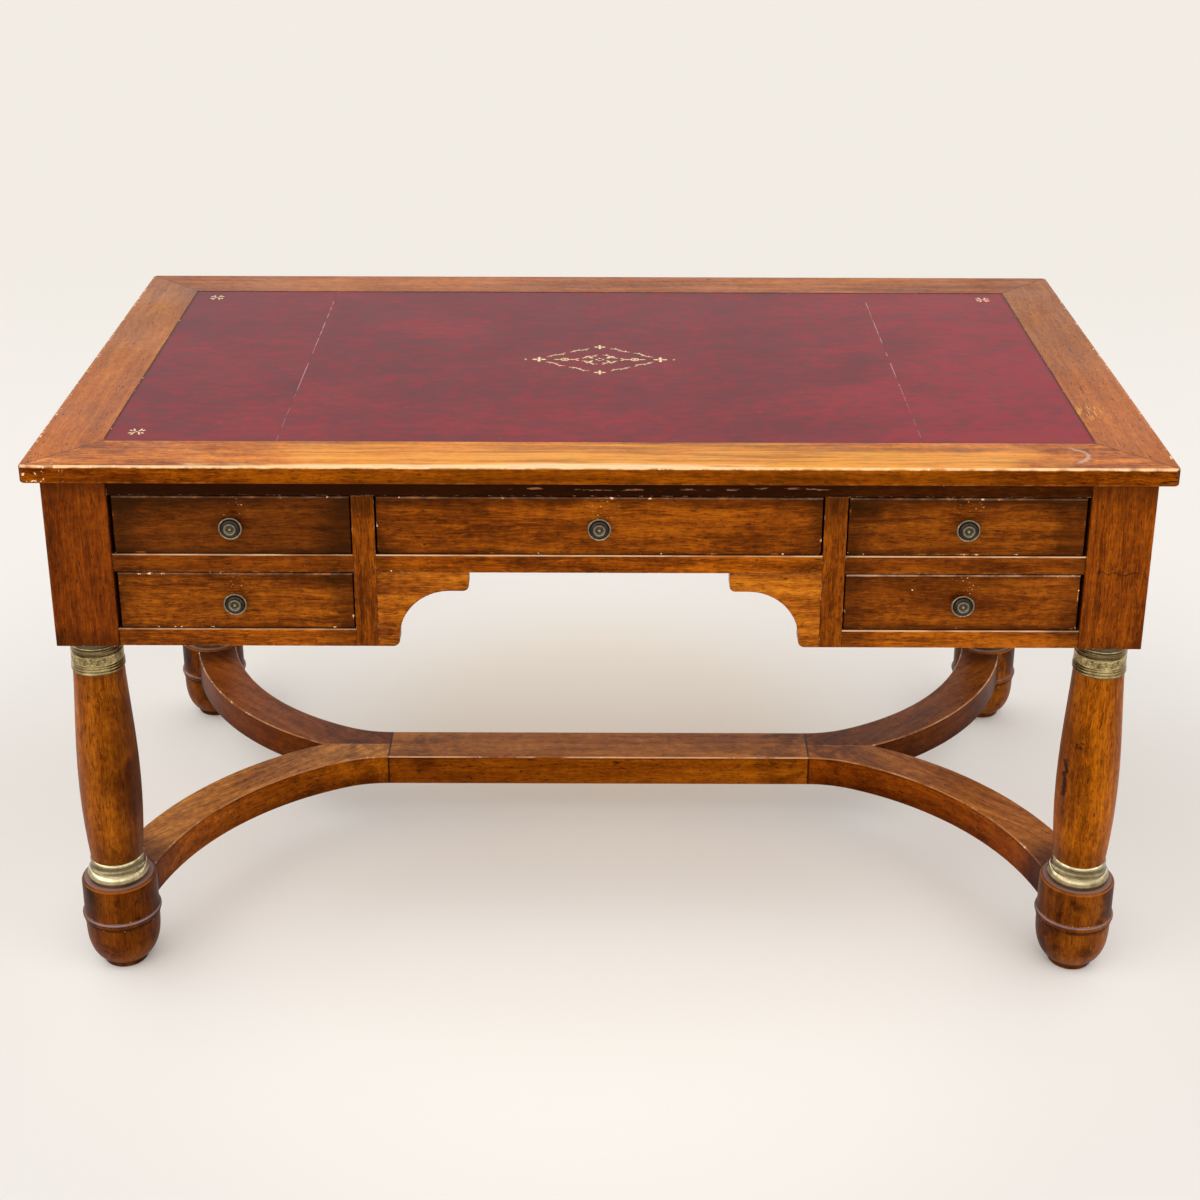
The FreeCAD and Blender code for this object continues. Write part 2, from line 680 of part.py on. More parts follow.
def knob(x, z):
    """A turned knob with a ringed face and its stem, and the nut behind the drawer front."""
    reach = knob_projection
    radius = knob_radius
    steps = [
        ("line", [(knob_foot_radius, 0)]),
        ("arc", [(knob_foot_radius, reach * 0.10), (knob_foot_radius * 0.86, reach * 0.16)]),
        ("arc", [(knob_neck_radius, reach * 0.34), (knob_foot_radius, reach * 0.52)]),
        ("line", [(radius * 0.93, reach * 0.58)]),
        ("arc", [(radius, reach * 0.68), (radius * 0.93, reach * 0.78)]),
        ("line", [(radius * 0.86, reach * 0.76)]),
        ("arc", [(radius * 0.70, reach * 0.68), (radius * 0.53, reach * 0.78)]),
        ("arc", [(radius * 0.44, reach * 1.0), (radius * 0.33, reach * 0.93)]),
        ("arc", [(radius * 0.22, reach * 0.90), (radius * 0.12, reach * 0.94)]),
        ("line", [(0, reach * 0.94)]),
        ("line", [(0, -drawer_front_thickness - 2 * knob_nut_thickness)]),
        ("line", [(knob_stem_radius, -drawer_front_thickness - 2 * knob_nut_thickness)]),
    ]
    body = Part.Face(outline((knob_stem_radius, 0), steps)).revolve(Vector(0, 0, 0), Vector(0, 0, 1), 360)
    body = Part.Solid(body.Solids[0])
    corner = knob_nut_width / math.sqrt(3)
    ring = [Vector(corner * math.cos(math.radians(60 * side)), corner * math.sin(math.radians(60 * side)), 0)
            for side in range(7)]
    nut = Part.Face(Part.makePolygon(ring)).extrude(Vector(0, 0, -knob_nut_thickness))
    nut.translate(Vector(0, 0, -drawer_front_thickness))
    nut = nut.cut(Part.makeCylinder(knob_stem_radius + fit_gap, desk_height, Vector(0, 0, -desk_height / 2)))
    placed = []
    for piece in (body, nut.Solids[0]):
        piece.rotate(Vector(0, 0, 0), Vector(1, 0, 0), 90)
        piece.translate(Vector(x, drawer_face_y, z))
        placed.append(piece)
    return placed


def drawer(name, x0, x1, left_gap, right_gap, floor, ceiling, low_corner):
    """A drawer in the opening between x0 and x1, from floor to ceiling, with a gap on either side."""
    front_x0 = x0 + left_gap
    front_x1 = x1 - right_gap
    z0 = floor + drawer_foot_gap
    z1 = ceiling - drawer_top_gap
    front = box(front_x0, front_x1, drawer_face_y, drawer_back_y, z0, z1)
    if low_corner:
        front = rounded(front, low_corner, lambda edge: runs_along(edge, Vector(0, 1, 0))
                        and edge.CenterOfMass.z < (z0 + z1) / 2)
    front = rounded(front, drawer_arris, lambda edge: abs(edge.CenterOfMass.y - drawer_face_y) < 1e-6)
    side_x0 = front_x0 + box_inset
    side_x1 = front_x1 - box_inset
    side_z1 = z1 - box_drop
    end_y = drawer_back_y + box_length
    inner_x0 = side_x0 + box_wall
    inner_x1 = side_x1 - box_wall
    floor_z = z0 + bottom_lift

    def base(room):
        return box(inner_x0 - bottom_groove - room, inner_x1 + bottom_groove + room,
                   drawer_back_y - bottom_groove - room, end_y + room,
                   floor_z - room, floor_z + bottom_thickness + room)

    sides = []
    for wall_x0, wall_x1 in ((side_x0, inner_x0), (inner_x1, side_x1)):
        side = box(wall_x0, wall_x1, drawer_back_y, end_y, z0, side_z1).fuse(
            dovetails(wall_x0, wall_x1, floor_z + bottom_thickness, side_z1, 0))
        sides.append(one(side.cut(base(fit_gap))))
        socket = dovetails(wall_x0 - fit_gap, wall_x1 + fit_gap, floor_z + bottom_thickness, side_z1, fit_gap)
        front = front.cut(socket)
    back = box(inner_x0, inner_x1, end_y - box_wall, end_y,
               floor_z + bottom_thickness + fit_gap, side_z1 - back_drop)
    middle_x = (front_x0 + front_x1) / 2
    middle_z = (z0 + z1) / 2
    hole = Part.makeCylinder(knob_stem_radius + fit_gap, desk_height,
                             Vector(middle_x, -desk_height, middle_z), Vector(0, 1, 0))
    front = front.cut(base(fit_gap)).cut(hole)
    keep("drawer_front_" + name, [front.Solids[0]])
    keep("drawer_box_" + name, sides + [back, base(0)])
    keep("knob_" + name, knob(middle_x, middle_z))
    return opening_stops(x0, x1, floor)


stops = drawer("centre", -stile_inner_x, stile_inner_x, centre_side_gap, centre_side_gap,
               upper_floor, opening_top, centre_drawer_corner)
for side, span, gaps in (("left", (-post_inner_x, -stile_outer_x), (drawer_outer_gap, drawer_inner_gap)),
                         ("right", (stile_outer_x, post_inner_x), (drawer_inner_gap, drawer_outer_gap))):
    stops += drawer("upper_" + side, *span, *gaps, upper_floor, opening_top, 0)
    stops += drawer("lower_" + side, *span, *gaps, lower_floor, lower_ceiling, 0)
keep("drawer_stops", stops)
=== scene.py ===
import math
import random
from functools import reduce

import bmesh
import bpy
from mathutils import Matrix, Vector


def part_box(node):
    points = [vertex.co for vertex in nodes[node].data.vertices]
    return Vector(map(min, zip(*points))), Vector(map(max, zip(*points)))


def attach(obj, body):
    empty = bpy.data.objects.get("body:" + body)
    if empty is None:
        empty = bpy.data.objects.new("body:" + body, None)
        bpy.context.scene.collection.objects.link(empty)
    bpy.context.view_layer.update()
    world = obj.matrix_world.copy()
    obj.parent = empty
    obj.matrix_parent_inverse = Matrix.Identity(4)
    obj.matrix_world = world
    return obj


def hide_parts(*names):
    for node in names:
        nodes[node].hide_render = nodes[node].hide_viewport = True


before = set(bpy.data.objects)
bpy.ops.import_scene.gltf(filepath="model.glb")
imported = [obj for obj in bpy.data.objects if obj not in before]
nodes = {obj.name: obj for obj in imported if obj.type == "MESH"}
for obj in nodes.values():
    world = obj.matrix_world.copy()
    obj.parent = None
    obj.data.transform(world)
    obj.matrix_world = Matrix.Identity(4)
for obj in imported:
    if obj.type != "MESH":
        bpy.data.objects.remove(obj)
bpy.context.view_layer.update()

# The room
# A bare photographer's studio: a wide pale floor with painted light on it, lighter near the desk, warmer
# under it as painted bounce light and greyer far behind it as light falls off, white walls lit low all
# round, and a broad soft light high over the camera. None of it is part of the desk.
MM = 0.001
floor_reach = 60.0
floor_drop = 0.4 * MM
floor_white = (0.93, 0.905, 0.868)
floor_warm_bounce = (0.911, 0.842, 0.751)
floor_dimmed = (0.762, 0.742, 0.717)
floor_dimmed_grey = (0.70, 0.675, 0.64)
desk_middle = (0, 0, 0)
warm_bounce_middle = (0, 0.35, 0)
warm_bounce_reach = (0.56, 0.20)
dimmed_reach = (0.58, 1.15)
dimmed_grey_reach = (0.5, 3.5)
sky_power = 3.98
sky_dark = 0.03
# The bands of light as (height, brightness), with the horizon at 0.5: over the camera and behind the desk.
sky_front = ((0.500, 0.68), (0.553, 0.96), (0.635, 0.62), (0.719, 0.16), (0.80, 0.12), (0.860, 0.62),
             (0.92, 0.82), (0.96, 0.40), (1.0, 0.05))
sky_back = ((0.500, 0.44), (0.553, 0.62), (0.635, 0.56), (0.719, 0.45), (0.80, 0.12), (0.872, 0.03),
            (1.0, 0.05))
left_gain = 1.20
right_gain = 0.86
sky_tint = (1.0, 0.985, 0.962)

bpy.context.scene.view_settings.view_transform = "Standard"


class Recipe:
    """A tree of shading steps. Each call adds a step to it and gives back what the step makes."""

    def __init__(self, tree, place):
        self.tree = tree
        self.place = self.step("TexCoord", {}).outputs[place]
        self.x, self.y, self.z = self.split(self.place)

    def step(self, kind, inputs, **settings):
        node = self.tree.nodes.new("ShaderNode" + kind)
        for key, value in settings.items():
            setattr(node, key, value)
        for key, value in inputs.items():
            if isinstance(value, bpy.types.NodeSocket):
                self.tree.links.new(value, node.inputs[key])
            else:
                node.inputs[key].default_value = value
        return node

    def split(self, vector):
        return list(self.step("SeparateXYZ", {"Vector": vector}).outputs)

    def distance(self, x, y, z=None):
        """How far a point lies from a place, or from a line along the axis that is None."""
        shown = [0 if value is None else 1 for value in (x, y, z)]
        flat = self.step("VectorMath", {0: self.place, 1: shown}, operation="MULTIPLY").outputs["Vector"]
        centre = [value or 0 for value in (x, y, z)]
        return self.step("VectorMath", {0: flat, 1: centre}, operation="DISTANCE").outputs["Value"]

    def fade(self, value, start, end, low=0.0, high=1.0):
        """Goes smoothly from low to high while the value goes from start to end."""
        return self.step("MapRange", {"Value": value, "From Min": start, "From Max": end, "To Min": low,
                                      "To Max": high}, interpolation_type="SMOOTHSTEP").outputs["Result"]

    def ramp(self, value, stops):
        """The colour at a value, between stops of (position, colour)."""
        node = self.step("ValToRGB", {"Fac": value})
        stops = list(stops)
        while len(node.color_ramp.elements) < len(stops):
            node.color_ramp.elements.new(0.5)
        for element, (position, colour) in zip(node.color_ramp.elements, stops):
            element.position = position
            element.color = (*colour, 1)
        return node.outputs["Color"]

    def lay(self, under, over, amount, mode="MIX"):
        """One colour laid over another by an amount."""
        node = self.step("Mix", {}, data_type="RGBA", blend_type=mode)
        for socket, value in ((node.inputs[0], amount), (node.inputs[6], under), (node.inputs[7], over)):
            if isinstance(value, bpy.types.NodeSocket):
                self.tree.links.new(value, socket)
            else:
                socket.default_value = (*value, 1) if isinstance(value, tuple) else value
        return node.outputs[2]


def set_down(name, mesh):
    """Puts a mesh, or the camera, into the scene as an object of its own."""
    piece = bpy.data.objects.new(name, mesh)
    bpy.context.scene.collection.objects.link(piece)
    return piece


floor_mesh = bpy.data.meshes.new("studio_floor")
corner_signs = ((-1, -1), (1, -1), (1, 1), (-1, 1))
floor_corners = [(x * floor_reach, y * floor_reach, -floor_drop) for x, y in corner_signs]
floor_mesh.from_pydata(floor_corners, [], [(0, 1, 2, 3)])
floor = set_down("studio_floor", floor_mesh)
paint = bpy.data.materials.new("floor_paint")
paint.use_nodes = True
ground = Recipe(paint.node_tree, "Object")
# Painted light on the floor: warm bounce light under the back of the desk, then dimmer away from the desk
# and greyer far behind it.
painted = ground.lay(floor_white, floor_warm_bounce, ground.fade(ground.distance(*warm_bounce_middle), *warm_bounce_reach))
painted = ground.lay(painted, floor_dimmed, ground.fade(ground.distance(*desk_middle), *dimmed_reach))
painted = ground.lay(painted, floor_dimmed_grey, ground.fade(ground.y, *dimmed_grey_reach))
paint_shader = ground.tree.nodes["Principled BSDF"]
ground.tree.links.new(painted, paint_shader.inputs["Base Color"])
paint_shader.inputs["Roughness"].default_value = 1.0
paint_shader.inputs["Specular IOR Level"].default_value = 0.0
floor_mesh.materials.append(paint)

sky = bpy.data.worlds.new("soft_light")
sky.use_nodes = True
bpy.context.scene.world = sky
light = Recipe(sky.node_tree, "Generated")


def across_sky(axis, low, high):
    """A value that goes from low to high while the view turns from one end of an axis to the other."""
    return light.step("MapRange", {"Value": axis, "From Min": -1.0, "From Max": 1.0, "To Min": low,
                                   "To Max": high}).outputs["Result"]


sky_height = across_sky(light.z, 0.0, 1.0)
sky_halves = []
for bands in (sky_front, sky_back):
    stops = [(0.0, (sky_dark,) * 3), (0.49, (sky_dark,) * 3)]
    stops += [(position, tuple(value * part for part in sky_tint)) for position, value in bands]
    sky_halves.append(light.ramp(sky_height, stops))
sky_round = light.lay(*sky_halves, across_sky(light.y, 0.0, 1.0))
sky_sides = light.step("VectorMath", {0: sky_round, "Scale": across_sky(light.x, left_gain, right_gain)},
                       operation="SCALE").outputs["Vector"]
light.tree.links.new(sky_sides, light.tree.nodes["Background"].inputs["Color"])
light.tree.nodes["Background"].inputs["Strength"].default_value = sky_power

# The camera
# It stands where the photographer stood: before the middle of the desk, 2.8 m from it and 1.76 m up.
# The shift lowers the frame, as in the photograph, where the lines that rise stay nearly upright.
eye = (-0.001, -2.8368, 1.7601)
eye_pitch = math.radians(21.454)
eye_yaw = math.radians(0.036)
eye_roll = math.radians(0.189)
camera_data = bpy.data.cameras.new("photograph")
camera_data.sensor_width = 36.0
camera_data.lens = 60.516
camera_data.shift_y = -0.125
camera = set_down("photograph", camera_data)
camera.matrix_world = (Matrix.Translation(eye) @ Matrix.Rotation(-eye_yaw, 4, "Z")
                       @ Matrix.Rotation(math.pi / 2 - eye_pitch, 4, "X")
                       @ Matrix.Rotation(eye_roll, 4, "Z"))
bpy.context.scene.camera = camera

# The frame of the top
# Four mitred rails of old walnut round the leather, waxed many times. Sitters' arms have worn the front
# rail to a golden band, partly a painted reflection of light, its arris is rubbed and chipped, with a
# painted glint along it, and a wet glass has left part of a pale ring. The sides of the rails carry painted
# shade.
rubbed_wood = (0.40, 0.12, 0.018)
pale_highlight = (0.50, 0.29, 0.18)
bare_wood = (0.80, 0.52, 0.30)
soot_and_shade = (0.012, 0.003, 0.0012)
grain_order = {"x": (0, 1, 2), "y": (1, 0, 2), "z": (2, 0, 1)}
varnish_tint = (1.0, 0.45, 0.09, 1)
smoke_and_shade_tint = (0.17, 0.085, 0.07)
wood_shades = ((0.28, (0.20, 0.15, 0.35)), (0.41, (0.56, 0.48, 0.62)), (0.50, (0.98, 0.96, 1.0)),
               (0.60, (1.50, 1.70, 1.8)), (0.72, (2.05, 2.60, 2.5)))


def tree_place(seed):
    """A place in the tree, by chance, from which a piece is cut."""
    dice = random.Random(seed)
    return [dice.uniform(-9, 9) for _ in range(3)]


class Finish(Recipe):
    """The finish of one piece: a material, with the steps that stains, marks and wear are drawn by."""

    def __init__(self, name):
        self.material = bpy.data.materials.new(name)
        self.material.use_nodes = True
        super().__init__(self.material.node_tree, "Object")
        self.shader = self.tree.nodes["Principled BSDF"]

    def stretch(self, vector, scale, shift=(0, 0, 0), turn=0.0):
        """The place turned about Z, scaled and shifted, to draw a pattern by."""
        return self.step("Mapping", {"Vector": vector, "Scale": scale, "Location": shift,
                                     "Rotation": (0, 0, turn)}).outputs["Vector"]

    def cloud(self, vector, scale=1.0, detail=3.0, rough=0.55, warp=0.0):
        """Soft noise about 0.5."""
        return self.step("TexNoise", {"Vector": vector, "Scale": scale, "Detail": detail,
                                      "Roughness": rough, "Distortion": warp}).outputs["Fac"]

    def dots(self, vector, scale, size, share):
        """Round dots of a size, measured in cells, in a share of the cells."""
        cells = self.step("TexVoronoi", {"Vector": vector, "Scale": scale})
        chance = self.split(cells.outputs["Color"])[0]
        return self.times(self.fade(cells.outputs["Distance"], size, size * 0.5),
                          self.fade(chance, 1 - share, 1 - share * 0.8))

    def math(self, operation, *values):
        return self.step("Math", dict(enumerate(values)), operation=operation).outputs[0]

    def less(self, value, other):
        return self.math("SUBTRACT", value, other)

    def least(self, value, other):
        return self.math("MINIMUM", value, other)

    def most(self, value, other):
        return self.math("MAXIMUM", value, other)

    def off(self, *values):
        """How far the sum of the values is from 0, either way."""
        return self.math("ABSOLUTE", self.sum(*values))

    def swing(self, noise, amount):
        """Noise brought to lie about 0, to make a line or an edge uneven."""
        return self.times(self.sum(noise, -0.5), amount)

    def tint(self, over, amount, mode="MIX"):
        """Lays a colour over the piece's own by an amount."""
        self.colour = self.lay(self.colour, over, amount, mode)

    def along_grain(self, axes, along):
        """The place with the axis that the grain runs along put first."""
        ordered = {key: axes[index] for key, index in zip("XYZ", grain_order[along])}
        return self.step("CombineXYZ", ordered).outputs["Vector"]

    def sum(self, *values):
        return reduce(lambda total, value: self.math("ADD", total, value), values)

    def times(self, *values):
        return reduce(lambda total, value: self.math("MULTIPLY", total, value), values)

    def soften(self, radius):
        """The way a face would look if the arrises were rounded, and how near an arris is, from 0 to 1."""
        eased = self.step("Bevel", {"Radius": radius}, samples=4).outputs["Normal"]
        flat = self.step("NewGeometry", {}).outputs["True Normal"]
        dot = self.step("VectorMath", {0: eased, 1: flat}, operation="DOT_PRODUCT").outputs["Value"]
        return eased, self.fade(dot, 0.995, 0.75)

    def crevice(self, reach):
        """Near 1 deep in corners and under edges, and 0 on open faces."""
        open_part = self.step("AmbientOcclusion", {"Distance": reach}, samples=4).outputs["AO"]
        return self.fade(open_part, 0.80, 0.30)

    def relief(self, height, depth, strength, normal=None):
        bump = self.step("Bump", {"Height": height, "Distance": depth, "Strength": strength})
        if normal:
            self.tree.links.new(normal, bump.inputs["Normal"])
        return bump.outputs["Normal"]

    def done(self, roughness, normal=None, **constants):
        """Joins the recipe to the shader. The constants are set on the shader's own sockets."""
        for key, value in (("Base Color", self.colour), ("Roughness", roughness), ("Normal", normal)):
            if value:
                self.tree.links.new(value, self.shader.inputs[key])
        for key, value in constants.items():
            self.shader.inputs[key.replace("_", " ")].default_value = value
        return self.material


def dress(node_name, material):
    """Puts a finish on a piece of the desk in place of its plain one."""
    mesh = nodes[node_name].data
    mesh.materials.clear()
    mesh.materials.append(material)


class OldPolish(Finish):
    """Stained and waxed wood: its figure, pores and marks follow the grain, and its arrises are rubbed."""

    def __init__(self, node_name, along, tone, seed, turn=0.0, wear=1.0, chips=1.0, lively=1.2):
        super().__init__(node_name + "_polish")
        self.node_name = node_name
        shift = tree_place(seed)
        axes = self.split(self.stretch(self.place, (1, 1, 1), turn=turn))
        straight = self.stretch(self.along_grain(axes, along), (1, 1, 1), shift)
        wave = self.swing(self.cloud(self.stretch(straight, (11, 22, 22)), detail=2), 12 * MM)
        bent = self.step("CombineXYZ", {"Y": wave, "Z": wave}).outputs["Vector"]
        grain = self.step("VectorMath", {0: straight, 1: bent}, operation="ADD").outputs["Vector"]
        elsewhere = self.stretch(self.place, (1, 1, 1), shift[::-1])
        self.stain = self.cloud(elsewhere, scale=9, detail=4, warp=0.5)
        smoke = self.cloud(self.stretch(grain, (3, 12, 12)), detail=3)
        streaks = self.cloud(self.stretch(grain, (6, 80, 80)), detail=4, rough=0.6, warp=0.3)
        curl = self.cloud(self.stretch(self.place, (1, 1, 1), shift), scale=90, detail=2)
        fibres = self.cloud(self.stretch(grain, (40, 520, 520)), detail=5, rough=0.75, warp=0.4)
        drawn = self.sum(self.times(smoke, 0.42), self.times(streaks, 0.46), self.times(curl, 0.20),
                         self.times(fibres, 0.62), -0.85)
        figure = self.sum(self.times(drawn, lively), 0.5)
        self.colour = self.ramp(figure, [(position, tuple(a * b for a, b in zip(tone, shade)))
                                         for position, shade in wood_shades])
        pores = self.fade(self.cloud(self.stretch(grain, (100, 700, 700), (5, 2, 7)), detail=2), 0.62, 0.67)
        self.dirt_and_shade(pores, 0.7)
        flecks = self.cloud(self.stretch(grain, (55, 330, 330), (3, 1, 2)), detail=3, rough=0.6)
        self.dirt_and_shade(self.fade(flecks, 0.63, 0.68), 0.8)
        marks = self.dots(self.stretch(grain, (1, 1.9, 1.9)), 40, 0.10, 0.15)
        self.dirt_and_shade(marks, 0.9)
        self.dirt_and_shade(self.dots(self.stretch(grain, (1, 1.7, 1.7), (7, 3, 5)), 27, 0.085, 0.09), 0.85)
        self.eased, self.edge = self.soften(2.2 * MM)
        self.facing_up = self.split(self.eased)[2]
        self.upper = self.fade(self.facing_up, 0.25, 0.65)
        self.wear = wear
        self.chipped = chips
        self.sheen_colour = pale_highlight
        self.specks = self.dots(self.stretch(grain, (1, 1.4, 1.4), (1, 4, 2)), 46, 0.075, 0.022 * chips)
        self.shine = self.sum(self.times(self.stain, 0.26), self.times(fibres, 0.14), 0.20)
        self.height = self.sum(self.times(fibres, 0.45), self.times(pores, -0.5), self.times(marks, -1.2),
                               self.times(self.cloud(self.place, scale=26, detail=1), 2.2))

    def dirt_and_shade(self, amount, strength=1.0):
        """Soot-black laid on, where and as thick as the amount says: dirt, and in some places painted
        shade.
        """
        self.tint(soot_and_shade, self.times(amount, strength))

    def darken_towards(self, axis, clear_end, dirt_and_shade, strength):
        """Darkens from a clear place along an axis towards a dark one, with an uneven edge: dirt in some
        places, painted shade in others.
        """
        uneven = self.swing(self.stain, 2.4 * (clear_end - dirt_and_shade))
        amount = self.times(self.fade(self.sum(axis, uneven), clear_end, dirt_and_shade), strength)
        self.tint(smoke_and_shade_tint, amount, "MULTIPLY")

    def set_arris(self, out, under, reach=6 * MM):
        """Marks an arris that is rounded in the wood itself, from the distances to its two faces."""
        self.edge = self.fade(self.sum(out, under), reach, 2 * MM)

    def shade_all_but_top(self, tint):
        """Darkens all faces but those that look up: painted shade on the sides, which the light from above
        leaves darker.
        """
        self.tint(tint, self.fade(self.facing_up, 0.85, 0.35), "MULTIPLY")

    def polish(self, level=0.22, corner_dirt_and_shade=0.8):
        """Dirt and painted shade in the corners, rubbed and chipped arrises, and a painted highlight on
        those that look up.

        This is the last step, and it puts the finish on its piece."""
        # Dirt and painted shade: darker where nearby parts would hold shade, in corners and under edges.
        self.dirt_and_shade(self.crevice(9 * MM), corner_dirt_and_shade)
        patches = self.cloud(self.place, scale=55, detail=3)
        rub = self.times(self.edge, self.fade(patches, 0.66 - 0.16 * self.wear, 0.74 - 0.12 * self.wear))
        self.tint(rubbed_wood, self.times(rub, 0.6))
        # Painted highlight on the arrises that look up, broken in patches.
        sheen = self.times(self.edge, self.upper, self.fade(patches, 0.35, 0.62, 0.2, 0.8))
        self.tint(self.sheen_colour, sheen)
        broken = self.sum(self.times(self.edge, 0.5), self.cloud(self.place, scale=150, detail=3))
        limit = 1.14 - 0.04 * self.chipped
        chips = self.most(self.fade(broken, limit, limit + 0.02), self.specks)
        self.tint(bare_wood, chips)
        normal = self.relief(self.sum(self.height, self.times(chips, -1.6)), 0.25 * MM, 0.6, self.eased)
        dress(self.node_name, self.done(self.shine, normal, Specular_IOR_Level=level,
                                        Specular_Tint=varnish_tint))


top_tone = (0.382, 0.097, 0.0072)
back_tone = (0.290, 0.072, 0.0045)
slab_side_shade = (0.40, 0.32, 0.10)
worn_and_sheen_gold = (0.80, 0.38, 0.040)
scrubbed_and_glint = (1.0, 0.72, 0.44)
cream_arris_highlight = (0.90, 0.56, 0.29)
water_grey = (0.52, 0.40, 0.33)
side_shade = (0.76, 0.84, 0.90)
top_rails = (("back", "x", back_tone, 0.7), ("left", "y", top_tone, 0.5), ("right", "y", top_tone, 0.5),
             ("front", "x", top_tone, 1.05))
mitre_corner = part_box("top_panel")[1]
slab_low, slab_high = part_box("top_rail_front")
golden_x = 0.04
glint_x = -0.16
glass_ring = (0.612, -0.383)
glass_radius = 27 * MM
nick_place = (0.678, -0.222)
knocked_corner = (-0.735, -0.430, 0.775)
for seed, (side, along, tone, lively) in enumerate(top_rails):
    rail = OldPolish("top_rail_" + side, along, tone, 10 + seed, wear=0.9, chips=0.9, lively=lively)
    lengthwise = 1.0 if along == "x" else 0.0
    far_x = rail.off(rail.x)
    far_y = rail.off(rail.y)
    outer = rail.least(rail.less(slab_high.x, far_x), rail.less(-slab_low.y, far_y))
    upper = rail.less(slab_high.z, rail.z)
    lower = rail.less(rail.z, slab_low.z)
    from_arris = rail.sum(outer, upper)
    rail.set_arris(outer, rail.least(upper, rail.sum(lower, 1.5 * MM)))
    # Painted highlight: a thin cream line along the upper arris of the long rails.
    rail.sheen_colour = cream_arris_highlight
    rail.upper = rail.fade(from_arris, 3.6 * MM, 2.2 * MM, 0, lengthwise)
    mitre = rail.off(rail.less(far_x, far_y), mitre_corner.y - mitre_corner.x)
    rail.dirt_and_shade(rail.fade(mitre, 1.4 * MM, 0.5 * MM), 0.85)
    # A rubbed line on the arris of the long rails, which also stands for a painted glint.
    worn_and_glint_line = rail.times(rail.fade(from_arris, 2.9 * MM, 2.0 * MM), rail.fade(rail.stain, 0.36, 0.50))
    rail.tint(scrubbed_and_glint, rail.times(worn_and_glint_line, 0.6 * lengthwise))
    if side == "front":
        ragged = rail.swing(rail.stain, 0.5)
        streaky = rail.swing(rail.cloud(rail.stretch(rail.place, (5, 70, 70)), detail=3), 0.16)
        along_band = rail.fade(rail.sum(rail.off(rail.x, -golden_x), ragged), 0.60, 0.40)
        from_front = rail.sum(rail.y, -slab_low.y, streaky)
        drawn = rail.cloud(rail.stretch(rail.place, (8, 150, 150)), detail=4, rough=0.6)
        # The golden band is worn wood and a painted reflection of light on the face that looks up.
        golden_wear_and_sheen = rail.times(along_band, rail.fade(from_front, 0.100, 0.030, 0.20, 1.0),
                            rail.fade(drawn, 0.36, 0.58, 0.4), rail.fade(rail.facing_up, 0.4, 0.9, 0.2))
        rail.tint(worn_and_sheen_gold, golden_wear_and_sheen, "SOFT_LIGHT")
        rail.tint(worn_and_sheen_gold, rail.times(golden_wear_and_sheen, 0.7))
        # Painted glint: a cream highlight along the front arris, left of the middle.
        glint = rail.times(rail.fade(rail.sum(rail.off(rail.x, -glint_x), ragged), 0.42, 0.20),
                           rail.fade(rail.sum(from_arris, rail.times(streaky, 0.25)), 15 * MM, 4 * MM),
                           rail.fade(rail.facing_up, 0.35, 0.75))
        rail.tint(scrubbed_and_glint, rail.times(glint, 0.62))
        wander = rail.swing(rail.cloud(rail.place, scale=60, detail=2), 12 * MM)
        ring = rail.off(rail.distance(*glass_ring), wander, -glass_radius)
        right_half = rail.fade(rail.x, glass_ring[0] + 2 * MM, glass_ring[0] + 14 * MM)
        wet = rail.times(rail.fade(ring, 5.0 * MM, 1.0 * MM), rail.fade(rail.stain, 0.25, 0.5, 0.5))
        rail.tint(water_grey, rail.times(wet, right_half, 0.55))
        flakes = rail.fade(rail.cloud(rail.place, scale=210, detail=2), 0.655, 0.68)
        knocked = rail.fade(rail.distance(*knocked_corner), 50 * MM, 20 * MM)
        rail.specks = rail.most(rail.specks, rail.times(flakes, knocked))
    if along == "y":
        rail.tint(side_shade, rail.fade(rail.y, -0.3, 0.25), "MULTIPLY")
    if side == "right":
        scratched = rail.cloud(rail.stretch(rail.place, (420, 40, 40), turn=0.5), detail=2)
        near_nicks = rail.fade(rail.distance(*nick_place), 40 * MM, 15 * MM)
        rail.tint(worn_and_sheen_gold, rail.times(near_nicks, rail.fade(scratched, 0.55, 0.62), 0.6))
    # Painted shade on the rail's sides; its top keeps the lit tone.
    rail.shade_all_but_top(slab_side_shade)
    rail.polish(0.045)

